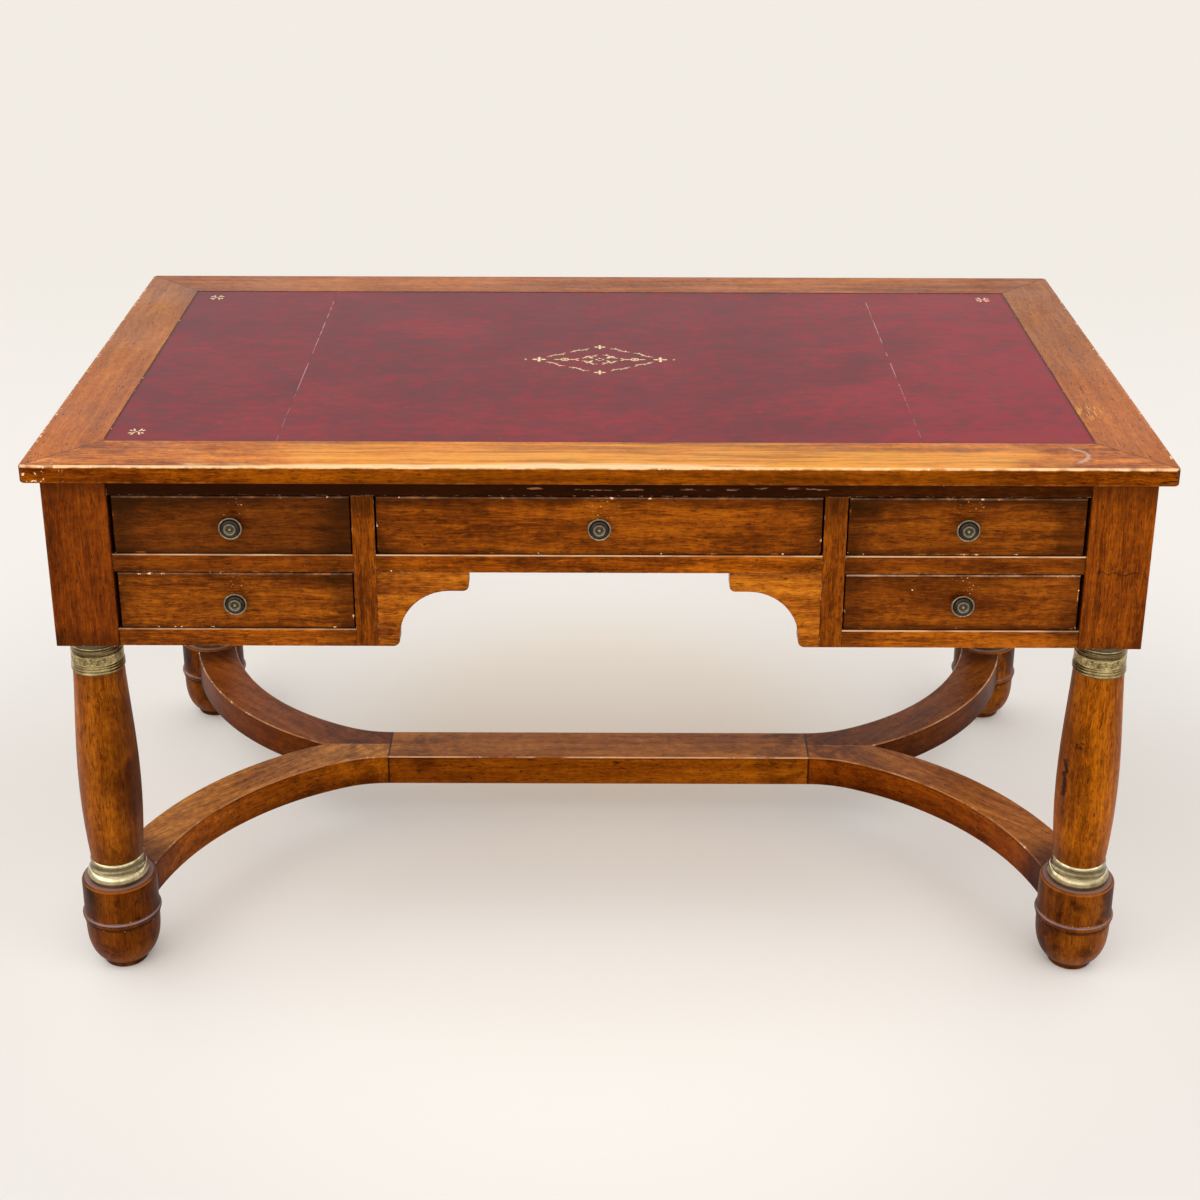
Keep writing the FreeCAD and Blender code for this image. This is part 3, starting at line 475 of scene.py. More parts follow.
# The leather
# Three hides of burgundy leather, glued to the panel inside the frame and butted at two seams that have
# cracked pale. The dye is mottled, worn redder towards the front and the right.
hide_tones = ((0.088, 0.009, 0.015), (0.142, 0.012, 0.019), (0.235, 0.014, 0.023))
seam_pale = (0.60, 0.38, 0.37)
edge_dark = (0.045, 0.006, 0.008)
frayed_tan = (0.70, 0.50, 0.33)
scuff_red = (0.50, 0.12, 0.11)
seam_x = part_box("leather_centre")[1].x
hide_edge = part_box("leather_right")[1]
for seed, side in enumerate(("left", "centre", "right")):
    hide = Finish("hide_" + side)
    own_part = hide.stretch(hide.place, (6, 9, 9), (seed * 3, 0, 0))
    streaks = hide.cloud(own_part, detail=6, rough=0.66, warp=0.4)
    fine = hide.cloud(hide.stretch(hide.place, (38, 70, 70)), detail=5, rough=0.7)
    redder = hide.sum(hide.fade(hide.y, 0.1, -0.4, 0, 0.05), hide.fade(hide.x, 0.2, 0.6, 0, 0.11))
    tone = hide.sum(hide.times(streaks, 0.48), hide.times(fine, 0.74), redder, -0.04)
    hide.colour = hide.ramp(tone, zip((0.42, 0.57, 0.74), hide_tones))
    from_seam = hide.off(hide.less(hide.off(hide.x), seam_x))
    cracked = hide.fade(hide.cloud(hide.stretch(hide.place, (90, 34, 30)), detail=3, rough=0.7), 0.46, 0.56)
    behind = hide.fade(hide.y, -0.25, 0.0, 0.30, 0.75)
    hide.tint(seam_pale, hide.times(hide.fade(from_seam, 0.9 * MM, 0.4 * MM), cracked, behind))
    from_side = hide.less(hide_edge.x, hide.off(hide.x))
    from_frame = hide.least(from_side, hide.less(hide_edge.y, hide.off(hide.y)))
    hide.tint(edge_dark, hide.fade(from_frame, 6 * MM, 0.5 * MM, 0, 0.45))
    hide.tint(soot_and_shade, hide.fade(from_side, 1.9 * MM, 1.0 * MM, 0, 0.85))
    torn = hide.cloud(hide.place, scale=130, detail=3)
    frayed = hide.sum(hide.times(hide.fade(from_frame, 5 * MM, 0), 0.42), torn)
    hide.tint(frayed_tan, hide.fade(frayed, 1.05, 1.08))
    scuffs = hide.fade(hide.cloud(hide.stretch(hide.place, (60, 240, 200), turn=0.5), detail=2), 0.72, 0.78)
    hide.tint(scuff_red, hide.times(scuffs, 0.5))
    pebble = hide.step("TexVoronoi", {"Vector": hide.place, "Scale": 560.0}).outputs["Distance"]
    normal = hide.relief(hide.sum(pebble, hide.times(fine, 1.2)), 0.12 * MM, 0.5)
    gloss = hide.sum(hide.times(fine, 0.25), 0.33)
    dress("leather_" + side, hide.done(gloss, normal, Specular_IOR_Level=0.045))

# The panel
# A flat panel of thin boards under the leather, planed but never polished.
bare_tones = ((0.16, 0.075, 0.030), (0.27, 0.14, 0.060), (0.38, 0.22, 0.10))
dust_brown = (0.17, 0.12, 0.08)


def leave_bare(node_name, along, seed, tones=bare_tones):
    """Planed wood that was never polished, grey-brown with age and dust."""
    wood = Finish(node_name + "_wood")
    grain = wood.stretch(wood.along_grain((wood.x, wood.y, wood.z), along), (1, 1, 1), tree_place(seed))
    drift = wood.cloud(wood.stretch(grain, (2, 18, 18)), detail=3)
    fibres = wood.cloud(wood.stretch(grain, (18, 300, 300)), detail=4, rough=0.6)
    bend = wood.cloud(wood.stretch(grain, (1.5, 9, 9)), detail=2)
    waves = wood.math("SINE", wood.sum(wood.times(wood.split(grain)[1], 480), wood.times(bend, 36)))
    rings = wood.fade(waves, -1, 1)
    tone = wood.sum(wood.times(drift, 0.5), wood.times(fibres, 0.5), wood.times(rings, 0.10), 0.03)
    wood.colour = wood.ramp(tone, zip((0.42, 0.58, 0.74), tones))
    wood.tint(dust_brown, wood.fade(wood.cloud(wood.place, scale=14, detail=4), 0.45, 0.75, 0, 0.35))
    dress(node_name, wood.done(wood.sum(wood.times(fibres, 0.2), 0.6), wood.relief(fibres, 0.25 * MM, 0.7),
                               Specular_IOR_Level=0.25))


leave_bare("top_panel", "x", 31)

# The gilt tooling
# A lozenge of small gilt stamps in the middle of the leather and a little flower near its corners, pressed
# in with heated brass tools and gold leaf. The flower of the front right corner is worn away.
leather_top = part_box("leather_centre")[1].z
gilt_rise = 0.08 * MM
corner_flowers = ((-622, -305), (-622, 305), (622, 305))
gold_worn = (0.70, 0.50, 0.24)
gold_fresh = (0.88, 0.72, 0.44)
gilt = bmesh.new()


def gilt_patch(points):
    """A thin flat patch of gold leaf with the given outline, in millimetres on the leather."""
    ring = [gilt.verts.new((x * MM, y * MM, leather_top)) for x, y in points]
    raised = [gilt.verts.new((x * MM, y * MM, leather_top + gilt_rise)) for x, y in points]
    gilt.faces.new(raised)
    gilt.faces.new(ring[::-1])
    for index in range(len(ring)):
        after = (index + 1) % len(ring)
        gilt.faces.new((ring[index], ring[after], raised[after], raised[index]))


def gilt_disc(x, y, radius, sides=14):
    turns = [2 * math.pi * side / sides for side in range(sides)]
    gilt_patch([(x + radius * math.cos(turn), y + radius * math.sin(turn)) for turn in turns])


def gilt_leaf(x, y, length, width, turn):
    """A pointed leaf with its middle at x, y."""
    outline = [(-0.5, 0), (-0.25, -0.42), (0.05, -0.5), (0.32, -0.3), (0.5, 0), (0.32, 0.3), (0.05, 0.5),
               (-0.25, 0.42)]
    c, s = math.cos(turn), math.sin(turn)
    points = [(a * length, b * width) for a, b in outline]
    gilt_patch([(x + a * c - b * s, y + a * s + b * c) for a, b in points])


def gilt_ring(x, y, radius, width, sides=20):
    """A ring, as short strokes end to end."""
    for side in range(sides):
        start, end = (2 * math.pi * (side + step) / sides for step in (0.04, 0.96))
        gilt_patch([(x + r * math.cos(turn), y + r * math.sin(turn))
                    for r, turn in ((radius - width / 2, start), (radius + width / 2, start),
                                    (radius + width / 2, end), (radius - width / 2, end))])


def gilt_sprig(x0, y0, x1, y1):
    """A wavy twig with a bud at each end and small leaves on both sides."""
    length = math.hypot(x1 - x0, y1 - y0)
    turn = math.atan2(y1 - y0, x1 - x0)
    c, s = math.cos(turn), math.sin(turn)
    for index in range(7):
        share = index / 6
        wave = 1.6 * math.sin(share * 2 * math.pi)
        x = x0 + share * length * c - wave * s
        y = y0 + share * length * s + wave * c
        gilt_leaf(x, y, length / 4.8, 2.4, turn + 0.5 * math.cos(share * 2 * math.pi))
        if index in (1, 3, 5):
            lean = 0.9 if index == 3 else -0.9
            aside = math.copysign(2.2, lean)
            gilt_leaf(x - aside * s, y + aside * c, 5.0, 2.0, turn + lean)
    gilt_disc(x0, y0, 1.9)
    gilt_disc(x1, y1, 1.9)


def gilt_flower(x, y, size):
    """Four pointed petals in a cross, with a dot in the middle."""
    out = size * 0.30
    for quarter in range(4):
        turn = quarter * math.pi / 2
        gilt_leaf(x + out * math.cos(turn), y + out * math.sin(turn), size * 0.42, size * 0.24, turn)
    gilt_disc(x, y, size * 0.10)


def gilt_spray(x, y):
    """A dot with three small leaves towards each of the diagonals."""
    gilt_disc(x, y, 1.1)
    for quarter in range(4):
        for reach, fan, length in ((4.8, 0.0, 5.2), (9.6, -0.27, 6.2), (9.6, 0.27, 6.2)):
            turn = math.pi / 4 + quarter * math.pi / 2 + fan
            gilt_leaf(x + reach * math.cos(turn), y + reach * math.sin(turn), length, length * 0.45, turn)


for side in (-1, 1):
    gilt_disc(side * 110, 0, 1.8)
    gilt_flower(side * 90, 0, 21)
    gilt_flower(0, side * 58, 18)
    gilt_ring(side * 52, 0, 5.4, 2.2)
    gilt_leaf(side * 52, 0, 5, 4, 0)
    gilt_leaf(side * 63, 0, 11, 2.8, 0)
    gilt_leaf(side * 41, 0, 11, 2.8, 0)
    gilt_leaf(side * 33.5, 2.8, 8, 2.4, -side * 0.6)
    gilt_leaf(side * 33.5, -2.8, 8, 2.4, side * 0.6)
    for rise in (-1, 1):
        gilt_sprig(side * 77, rise * 12, side * 53, rise * 29)
        gilt_sprig(side * 43, rise * 35, side * 18, rise * 50)
        gilt_sprig(side * 25, rise * 6, side * 5, rise * 21)
gilt_leaf(0, 0, 14, 7, 0)
gilt_leaf(0, 0, 8, 13, 0)
for side in (-1, 1):
    for rise in (-1, 1):
        gilt_leaf(side * 13, rise * 8, 9, 4, side * rise * 0.7)
        gilt_leaf(side * 19, rise * 14, 6, 3, -side * rise * 0.7)
for x, y in corner_flowers:
    gilt_spray(x, y)
gilt_mesh = bpy.data.meshes.new("gilt_tooling")
bmesh.ops.recalc_face_normals(gilt, faces=gilt.faces)
gilt.to_mesh(gilt_mesh)
gilt.free()
gilt_work = set_down("gilt_tooling", gilt_mesh)
leaf = Finish("gold_leaf")
unrubbed = leaf.fade(leaf.cloud(leaf.place, scale=420, detail=3, rough=0.7), 0.42, 0.60)
leaf.colour = leaf.lay(gold_worn, gold_fresh, unrubbed)
gilt_mesh.materials.append(leaf.done(leaf.fade(unrubbed, 0, 1, 0.55, 0.4), Metallic=0.35))
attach(gilt_work, "root")

# The posts
# Four square posts at the corners of the apron, each sawn from one piece, with the grain upright. They hold
# the tenons of the rails and take the spigots of the columns from below.
post_tone = (0.116, 0.0188, 0.0006)
right_post_tone = (0.168, 0.0320, 0.0008)
check_x = 0.688
check_z = 0.633
apron_low, apron_high = (point.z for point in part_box("post_front_left"))
corners = ("front_left", "front_right", "back_left", "back_right")
for seed, corner in enumerate(corners):
    tone = right_post_tone if "right" in corner else post_tone
    post = OldPolish("post_" + corner, "z", tone, 40 + seed, wear=0.5, chips=1.2, lively=1.1)
    if corner == "front_right":
        wander = post.swing(post.cloud(post.stretch(post.place, (55, 55, 55)), detail=3), 22 * MM)
        check = post.fade(post.off(post.z, -check_z, wander), 1.5 * MM, 0.4 * MM)
        near_check = post.fade(post.distance(check_x, None, check_z), 36 * MM, 20 * MM)
        post.dirt_and_shade(post.times(check, near_check), 0.8)
    # Painted shade: darker towards the top, under the slab.
    post.darken_towards(post.z, apron_high - 0.05, apron_high, 0.6)
    post.darken_towards(post.z, apron_low + 0.03, apron_low, 0.5)
    post.polish()

# The front frame
# One long rail under the top, two stiles beside the kneehole and the short rails between the drawers,
# tenoned together. The long rail lies in the shadow of the top, which is painted on it as near-black shade,
# and splinters are torn off along its lower edge.
rail_tone = (0.212, 0.0440, 0.0008)
low_rail_tone = (0.237, 0.053, 0.0018)
divider_tone = (0.120, 0.0225, 0.0008)
stile_tone = (0.162, 0.0335, 0.0008)
front_boards = (("front_top_rail", "x", rail_tone), ("centre_rail", "x", rail_tone),
                ("stile_left", "z", stile_tone), ("stile_right", "z", stile_tone),
                ("divider_rail_left", "x", divider_tone), ("divider_rail_right", "x", divider_tone),
                ("bottom_rail_left", "x", low_rail_tone), ("bottom_rail_right", "x", low_rail_tone))
splinter_x = 0.09
splinter_z = 0.7525
splinter_brown = (0.26, 0.11, 0.06)
for seed, (name, along, tone) in enumerate(front_boards):
    rail = OldPolish(name, along, tone, 50 + seed, wear=0.1, chips=1.5)
    if name == "front_top_rail":
        # Painted shade: the rail in the shadow of the top is laid near-black, a little less so at the
        # right.
        rail.dirt_and_shade(rail.fade(rail.x, 0.22, 0.42, 0.97, 0.85))
        wander = rail.swing(rail.cloud(rail.stretch(rail.place, (9, 9, 9)), detail=2), 16 * MM)
        torn = rail.fade(rail.off(rail.z, -splinter_z, wander), 1.8 * MM, 0.6 * MM)
        splinters = rail.fade(rail.cloud(rail.stretch(rail.place, (38, 150, 150)), detail=3), 0.53, 0.59)
        reach = rail.fade(rail.off(rail.x, -splinter_x), 0.26, 0.20)
        rail.tint(splinter_brown, rail.times(torn, splinters, reach, 0.8))
    elif along == "z":
        # Painted shade: darker towards the top, under the long rail and the slab.
        rail.darken_towards(rail.z, apron_high - 0.09, apron_high - 0.02, 0.8)
    else:
        low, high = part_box(name)
        rail.darken_towards(rail.x, low.x + 0.07, low.x + 0.02, 0.5)
        rail.darken_towards(rail.x, high.x - 0.07, high.x - 0.02, 0.5)
        from_arris = rail.sum(rail.y, -low.y, rail.less(high.z, rail.z))
        # A rubbed light line on the upper front arris, which also stands for a painted highlight.
        rubbed = rail.times(rail.fade(from_arris, 2.0 * MM, 1.1 * MM),
                            rail.fade(rail.stain, 0.36, 0.60, 0.15, 0.65))
        rail.specks = rail.most(rail.specks, rubbed)
    rail.polish(0.03 if name == "front_top_rail" else 0.22)

# The brackets
# Two fretted boards in the corners of the kneehole, glued under the centre rail and against the stiles.
bracket_tone = (0.244, 0.060, 0.0034)
for seed, side in enumerate(("left", "right")):
    OldPolish("bracket_" + side, "x", bracket_tone, 60 + seed, wear=0.1, chips=0.8).polish()

# The side and back boards
# Wide plain boards between the posts, stained and polished like the front.
plain_boards = (("side_apron_left", "y"), ("side_apron_right", "y"), ("back_apron", "x"))
for seed, (name, along) in enumerate(plain_boards):
    board = OldPolish(name, along, post_tone, 65 + seed, wear=0.5, chips=0.6)
    # Painted shade: darker towards the top, under the slab.
    board.darken_towards(board.z, apron_high - 0.05, apron_high, 0.6)
    board.polish()

# The drawers
# Solid walnut fronts, darkened with rubbed-in stain towards their ends, and dovetailed boxes of plain oak
# with thin bottoms, left bare.
drawer_tones = {"centre": (0.171, 0.035, 0.0011), "upper_left": (0.079, 0.0150, 0.0010),
                "lower_left": (0.191, 0.043, 0.0018), "upper_right": (0.143, 0.030, 0.0013),
                "lower_right": (0.154, 0.032, 0.0014)}
oak_tones = ((0.26, 0.14, 0.055), (0.40, 0.24, 0.105), (0.52, 0.34, 0.17))
drawer_names = ("centre", "upper_left", "lower_left", "upper_right", "lower_right")
for seed, name in enumerate(drawer_names):
    low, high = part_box("drawer_front_" + name)
    front = OldPolish("drawer_front_" + name, "x", drawer_tones[name], 70 + seed, wear=0.5, chips=0.3)
    front.darken_towards(front.x, low.x + 0.050, low.x + 0.002, 0.7)
    front.darken_towards(front.x, high.x - 0.050, high.x - 0.002, 0.7)
    # Darker towards the top: partly stain, partly painted shade under the top.
    front.darken_towards(front.z, high.z - 0.024, high.z, 0.7)
    front.darken_towards(front.z, low.z + 0.012, low.z, 0.7)
    inward = front.sum(front.y, -low.y)
    to_sides = front.least(front.sum(front.x, -low.x), front.less(high.x, front.x))
    to_top = front.less(high.z, front.z)
    to_foot = front.sum(front.z, -low.z)
    front.set_arris(front.least(to_sides, front.least(to_top, to_foot)), inward, 3 * MM)
    # Painted highlight along the top arris, full only on the lower right drawer.
    sheen = 1.0 if name == "lower_right" else 0.3
    front.upper = front.fade(front.sum(to_top, inward), 2.8 * MM, 1.2 * MM, 0, sheen)
    front.edge = front.times(front.edge, front.fade(front.stain, 0.40, 0.60, 0.72, 1.0))
    knob_low, knob_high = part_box("knob_" + name)
    knob_x = (knob_low.x + knob_high.x) / 2
    near_knob = front.fade(front.distance(knob_x + 4 * MM, None, knob_high.z + 10 * MM), 28 * MM, 10 * MM)
    flakes = front.fade(front.cloud(front.stretch(front.place, (300, 300, 480)), detail=2), 0.69, 0.71)
    front.specks = front.most(front.specks, front.times(near_knob, flakes))
    to_corner = front.sum(to_sides, front.least(to_foot, 20 * MM), inward)
    ragged = front.times(front.cloud(front.place, scale=90, detail=3), 26 * MM)
    front.specks = front.most(front.specks, front.fade(front.sum(to_corner, ragged), 15 * MM, 14 * MM))
    front.polish()
    leave_bare("drawer_box_" + name, "y", 80 + seed, oak_tones)

# The knobs
# Turned brass knobs with a ringed face, screwed through the drawer fronts and held by a nut inside. The
# dish has a brown-black patina, and fingers keep the rims and the middle bright.
knob_dark = (0.035, 0.028, 0.020)
knob_mid = (0.085, 0.069, 0.046)
knob_bright = (0.235, 0.190, 0.130)
knob_gold = (0.42, 0.31, 0.14)
# The colours of the face as (share of the radius, colour), from the middle to the rim.
knob_rings = ((0.0, knob_gold), (0.06, knob_gold), (0.15, knob_dark), (0.32, knob_mid),
              (0.44, knob_bright), (0.52, knob_mid), (0.60, knob_dark), (0.80, knob_dark),
              (0.90, knob_bright), (1.0, knob_bright))
for name in drawer_names:
    low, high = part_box("knob_" + name)
    middle = (low + high) / 2
    rim = (high.x - low.x) / 2
    knob = Finish("knob_" + name + "_brass")
    knob.colour = knob.ramp(knob.times(knob.distance(middle.x, None, middle.z), 1 / rim), knob_rings)
    tarnish = knob.cloud(knob.place, scale=260, detail=4, rough=0.65)
    knob.tint(knob_dark, knob.fade(tarnish, 0.45, 0.75, 0, 0.75))
    dress("knob_" + name, knob.done(knob.fade(tarnish, 0.3, 0.7, 0.26, 0.5),
                                    knob.relief(tarnish, 0.1 * MM, 0.4), Metallic=1.0))

# The inside
# Two partitions behind the stiles, and the runners, guides, kickers and stops of the drawers, all of plain
# bare wood nailed and glued in place.
inner_pieces = (("partition_left", "y"), ("partition_right", "y"), ("drawer_runners", "y"),
                ("drawer_kickers", "y"), ("drawer_stops", "x"))
for seed, (name, along) in enumerate(inner_pieces):
    leave_bare(name, along, 90 + seed)

# The columns
# Four columns turned from the solid with a long swelling, their spigots glued into post and foot. The front
# right one has an old dark crack on its left and a scuffed patch above it.
column_tone = (0.218, 0.055, 0.0023)
right_column_tone = (0.310, 0.080, 0.0017)
foot_low, foot_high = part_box("foot_back_right")
leg_x = (foot_low.x + foot_high.x) / 2
leg_y = (foot_low.y + foot_high.y) / 2
crack_x = 0.6485
crack_low = 0.281
crack_high = 0.345
scuff_place = (0.660, -0.405, 0.372)


def leg_axis(corner):
    """Where the axis of a leg stands."""
    return (-leg_x if "left" in corner else leg_x), (-leg_y if "front" in corner else leg_y)


def shade_inside(leg, corner, start, end, strength):
    """Painted shade on the side of a leg that looks under the desk, away from the light."""
    axis_x = leg_axis(corner)[0]
    inward = leg.times(leg.sum(leg.x, -axis_x), -math.copysign(1, axis_x))
    leg.darken_towards(inward, start, end, strength)


for seed, corner in enumerate(corners):
    tone = right_column_tone if "right" in corner else column_tone
    column = OldPolish("column_" + corner, "z", tone, 100 + seed, wear=0.3, chips=0.6, lively=0.85)
    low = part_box("column_" + corner)[0]
    column.darken_towards(column.z, apron_low - 0.11, apron_low - 0.05, 0.35)
    column.darken_towards(column.z, low.z + 0.13, low.z + 0.07, 0.45)
    # Painted shade on the inner side, deeper on the left legs.
    shade_inside(column, corner, -0.012, 0.046, 0.9 if "left" in corner else 0.45)
    if corner == "front_right":
        noise = column.cloud(column.stretch(column.place, (0, 0, 75)), detail=4, rough=0.7)
        from_crack = column.off(column.x, -crack_x, column.swing(noise, 22 * MM))
        crack = column.times(column.fade(from_crack, 2.4 * MM, 1.2 * MM),
                             column.fade(column.y, -leg_y - 8 * MM, -leg_y - 14 * MM),
                             column.fade(column.z, crack_low, crack_low + 4 * MM),
                             column.fade(column.z, crack_high, crack_high - 10 * MM))
        column.dirt_and_shade(crack, 0.95)
        bruise = column.fade(column.cloud(column.place, scale=160, detail=3), 0.48, 0.56)
        near_scuff = column.fade(column.distance(*scuff_place), 16 * MM, 6 * MM)
        column.dirt_and_shade(column.times(near_scuff, bruise), 0.7)
    column.polish(0.12)

# The feet
# Turned feet with a bead round the middle and a pad under the bowl. Shoes and brooms have darkened them,
# old wax has gone grey on the bead and dull on top of the block, and the block's rim is rubbed orange. The
# bead's crown and the rim also carry a painted highlight, and the groove under the bead a painted shadow.
foot_tones = {"left": (0.098, 0.0210, 0.0009), "right": (0.158, 0.0390, 0.0021)}
rim_rubbed_and_highlight = (0.40, 0.105, 0.018)
block_mauve = (0.26, 0.155, 0.130)
bead_wax_and_highlight = (0.25, 0.18, 0.19)
block_top = foot_high.z
block_radius = (foot_high.x - foot_low.x) / 2 - 3 * MM
bead_crown = 0.0855
bead_foot = 0.0755
for seed, corner in enumerate(corners):
    tone = foot_tones[corner.split("_")[1]]
    foot = OldPolish("foot_" + corner, "z", tone, 110 + seed, wear=0.4, chips=0.7, lively=0.8)
    foot.darken_towards(foot.z, 0.026, 0.0, 0.6)
    # Painted shade on the side that looks under the desk.
    shade_inside(foot, corner, 0.0, 0.058, 0.6)
    axis_x = leg_axis(corner)[0]
    outward = foot.times(foot.sum(foot.x, -axis_x), math.copysign(1, axis_x))
    smudged = foot.fade(foot.sum(outward, foot.swing(foot.stain, 90 * MM)), 20 * MM, 36 * MM)
    over_bead = foot.fade(foot.z, bead_crown - 4 * MM, bead_crown + 12 * MM)
    foot.dirt_and_shade(foot.times(smudged, over_bead), 0.75)
    mottled = foot.cloud(foot.place, scale=38, detail=4, rough=0.6)
    foot.tint(smoke_and_shade_tint, foot.fade(mottled, 0.50, 0.68, 0, 0.7), "MULTIPLY")
    radial = foot.distance(*leg_axis(corner))
    patchy = foot.fade(foot.stain, 0.38, 0.56, 0.25, 1.0)
    flat_top = foot.times(foot.fade(foot.z, block_top - 4 * MM, block_top - 1 * MM),
                          foot.fade(radial, block_radius - 3 * MM, block_radius - 5 * MM))
    foot.tint(block_mauve, foot.times(flat_top, 0.85))
    rim_off = foot.sum(foot.less(block_radius, radial), foot.less(block_top, foot.z))
    rim = foot.times(foot.fade(rim_off, 3.7 * MM, 3.0 * MM), foot.less(1.0, flat_top))
    # The rim is rubbed orange and also carries a painted highlight.
    foot.tint(rim_rubbed_and_highlight, foot.times(rim, patchy, 0.5))
    # Old wax gone grey on the bead's crown, which also stands for a painted highlight.
    crown = foot.fade(foot.off(foot.z, -bead_crown), 1.5 * MM, 0.6 * MM)
    foot.tint(bead_wax_and_highlight, foot.times(crown, patchy, 0.75))
    # Painted shadow in the groove under the bead.
    shadow_under_bead = foot.times(foot.fade(foot.z, bead_foot - 4.5 * MM, bead_foot - 1.0 * MM),
                            foot.fade(foot.z, bead_foot + 4.5 * MM, bead_foot + 1.5 * MM))
    foot.dirt_and_shade(shadow_under_bead, 0.7)
    foot.polish(0.08, 0.25)

# The collars
# Two cast and turned brass collars on each leg, slipped over the column before it was glued. The top one
# has a band chased with a running scroll between reeds, and the one on the foot is a torus and a hollow.
brass_dark = (0.060, 0.038, 0.014)
brass_mid = (0.18, 0.13, 0.055)
brass_gold = (0.60, 0.47, 0.22)
brass_pale = (0.60, 0.53, 0.34)
lip_grey = (0.085, 0.075, 0.058)
pit_brown = (0.05, 0.035, 0.018)
ring_sides = 432
band_rows = 24
band_radius = 34.9 * MM
band_height = 14.0 * MM
scroll_count = 24
scroll_depth = 0.5 * MM


def turn_courses(points, base, courses):
    """Goes on from the last point of a profile, course by course, in millimetres over the base.

    A course has the radius and the height that it reaches, how far its round stands out, or sinks in where
    that is negative, and the number of facets of the round."""
    for radius, height, out, facets in courses:
        r0, z0 = points[-1]
        for facet in range(1, facets + 1):
            share = facet / facets
            r = r0 + (radius * MM - r0) * share + out * MM * math.sin(math.pi * share)
            points.append((r, z0 + (base + height * MM - z0) * share))


def scroll_height(turn, share):
    """The chased scroll, from 0 to 1: a waving stem with a curl and a leaf in each bay, in millimetres."""
    band = band_height / MM
    pitch = 2 * math.pi * band_radius / MM / scroll_count
    bay = turn / (2 * math.pi) * scroll_count
    share_of_bay = bay - math.floor(bay)
    side = 1 if math.floor(bay) % 2 else -1
    across = (share_of_bay - 0.5) * pitch
    rise = (share - 0.5) * band * side
    stem = abs(rise - 4.2 * math.cos(math.pi * share_of_bay)) / 1.2
    curl_off = math.hypot(across, rise + 1.6)
    curl = min(abs(curl_off - 2.9) / 1.0, curl_off / 1.3)
    leaf = math.hypot(across / 2.2, (rise - 4.1) / 1.4)
    border = min(share, 1 - share) * band
    raised = max(0.0, 1 - min(stem, curl, leaf)) ** 0.6 * min(1.0, max(0.0, (border - 1.6) / 0.6))
    return max(raised, 0.7 if 0.4 < border < 1.3 else 0.0)


def turned_ring(mesh, axis, profile, band=None):
    """Turns a closed profile of radius and height about a leg, and raises the scroll on the band."""
    rows = []
    for radius, level in profile:
        row = []
        for side in range(ring_sides):
            turn = 2 * math.pi * side / ring_sides
            raised = 0.0
            if band and band[0] < level < band[1]:
                raised = scroll_height(turn, (level - band[0]) / (band[1] - band[0]))
            grown = radius + scroll_depth * raised
            x = axis[0] + grown * math.cos(turn)
            y = axis[1] + grown * math.sin(turn)
            vert = mesh.verts.new((x, y, level))
            vert[mesh.verts.layers.float["raised"]] = raised
            row.append(vert)
        rows.append(row)
    for index, row in enumerate(rows):
        above = rows[(index + 1) % len(rows)]
        for side in range(ring_sides):
            after = (side + 1) % ring_sides
            mesh.faces.new((row[side], row[after], above[after], above[side])).smooth = True


def collar_set(name, profile, band=None):
    """Four equal collars, one on each leg, as one piece in place of the plain ones."""
    mesh = bmesh.new()
    mesh.verts.layers.float.new("raised")
    for corner in corners:
        turned_ring(mesh, leg_axis(corner), profile, band)
    bmesh.ops.recalc_face_normals(mesh, faces=mesh.faces)
    data = bpy.data.meshes.new(name)
    mesh.to_mesh(data)
    mesh.free()
    data.set_sharp_from_angle(angle=math.radians(38))
    collars = set_down(name, data)
    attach(collars, "root")
    return collars


neck_bore = 33.1 * MM
collar_low, collar_high = (point.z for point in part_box("top_collars"))
band_low = collar_low + 13.2 * MM
band_high = band_low + band_height
lower_reeds = ((34.9, 4.6, 1.6, 8), (34.8, 9.0, 1.5, 8), (34.6, 12.6, 1.2, 8))
upper_courses = ((34.6, 0.3, 0, 1), (34.6, 2.1, 1.0, 5), (34.9, 6.6, 0.5, 8), (34.3, 7.1, 0, 1),
                 (34.5, 10.0, -0.6, 8), (34.8, 14.6, 1.4, 8), (34.4, 15.1, 0, 1), (39.7, 17.4, -0.6, 8),
                 (40.4, 17.8, 0, 1))
top_profile = [(neck_bore, collar_low), (band_radius, collar_low)]
turn_courses(top_profile, collar_low, lower_reeds)
top_profile += [(band_radius, band_low + band_height * row / band_rows) for row in range(band_rows + 1)]
turn_courses(top_profile, band_high, upper_courses)
top_profile += [(top_profile[-1][0], collar_high), (neck_bore, collar_high)]
top_set = collar_set("turned_top_collars", top_profile, (band_low, band_high))
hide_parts("top_collars")

heel_bore = 35.1 * MM
base_low, base_high = (point.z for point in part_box("base_collars"))
torus_and_hollow = ((41.4, 0, 0, 1), (41.8, 1.0, 0, 1), (39.9, 17.0, 2.1, 14), (39.3, 17.4, 0, 1),
                    (39.3, 18.4, 0, 1), (36.2, 26.6, -0.7, 12), (36.7, 27.0, 0, 1))
base_profile = [(heel_bore, base_low)]
turn_courses(base_profile, base_low, torus_and_hollow)
turn_courses(base_profile, base_high, ((36.6, 0, 1.2, 8),))
base_profile.append((heel_bore, base_high))
base_set = collar_set("turned_base_collars", base_profile)
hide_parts("base_collars")

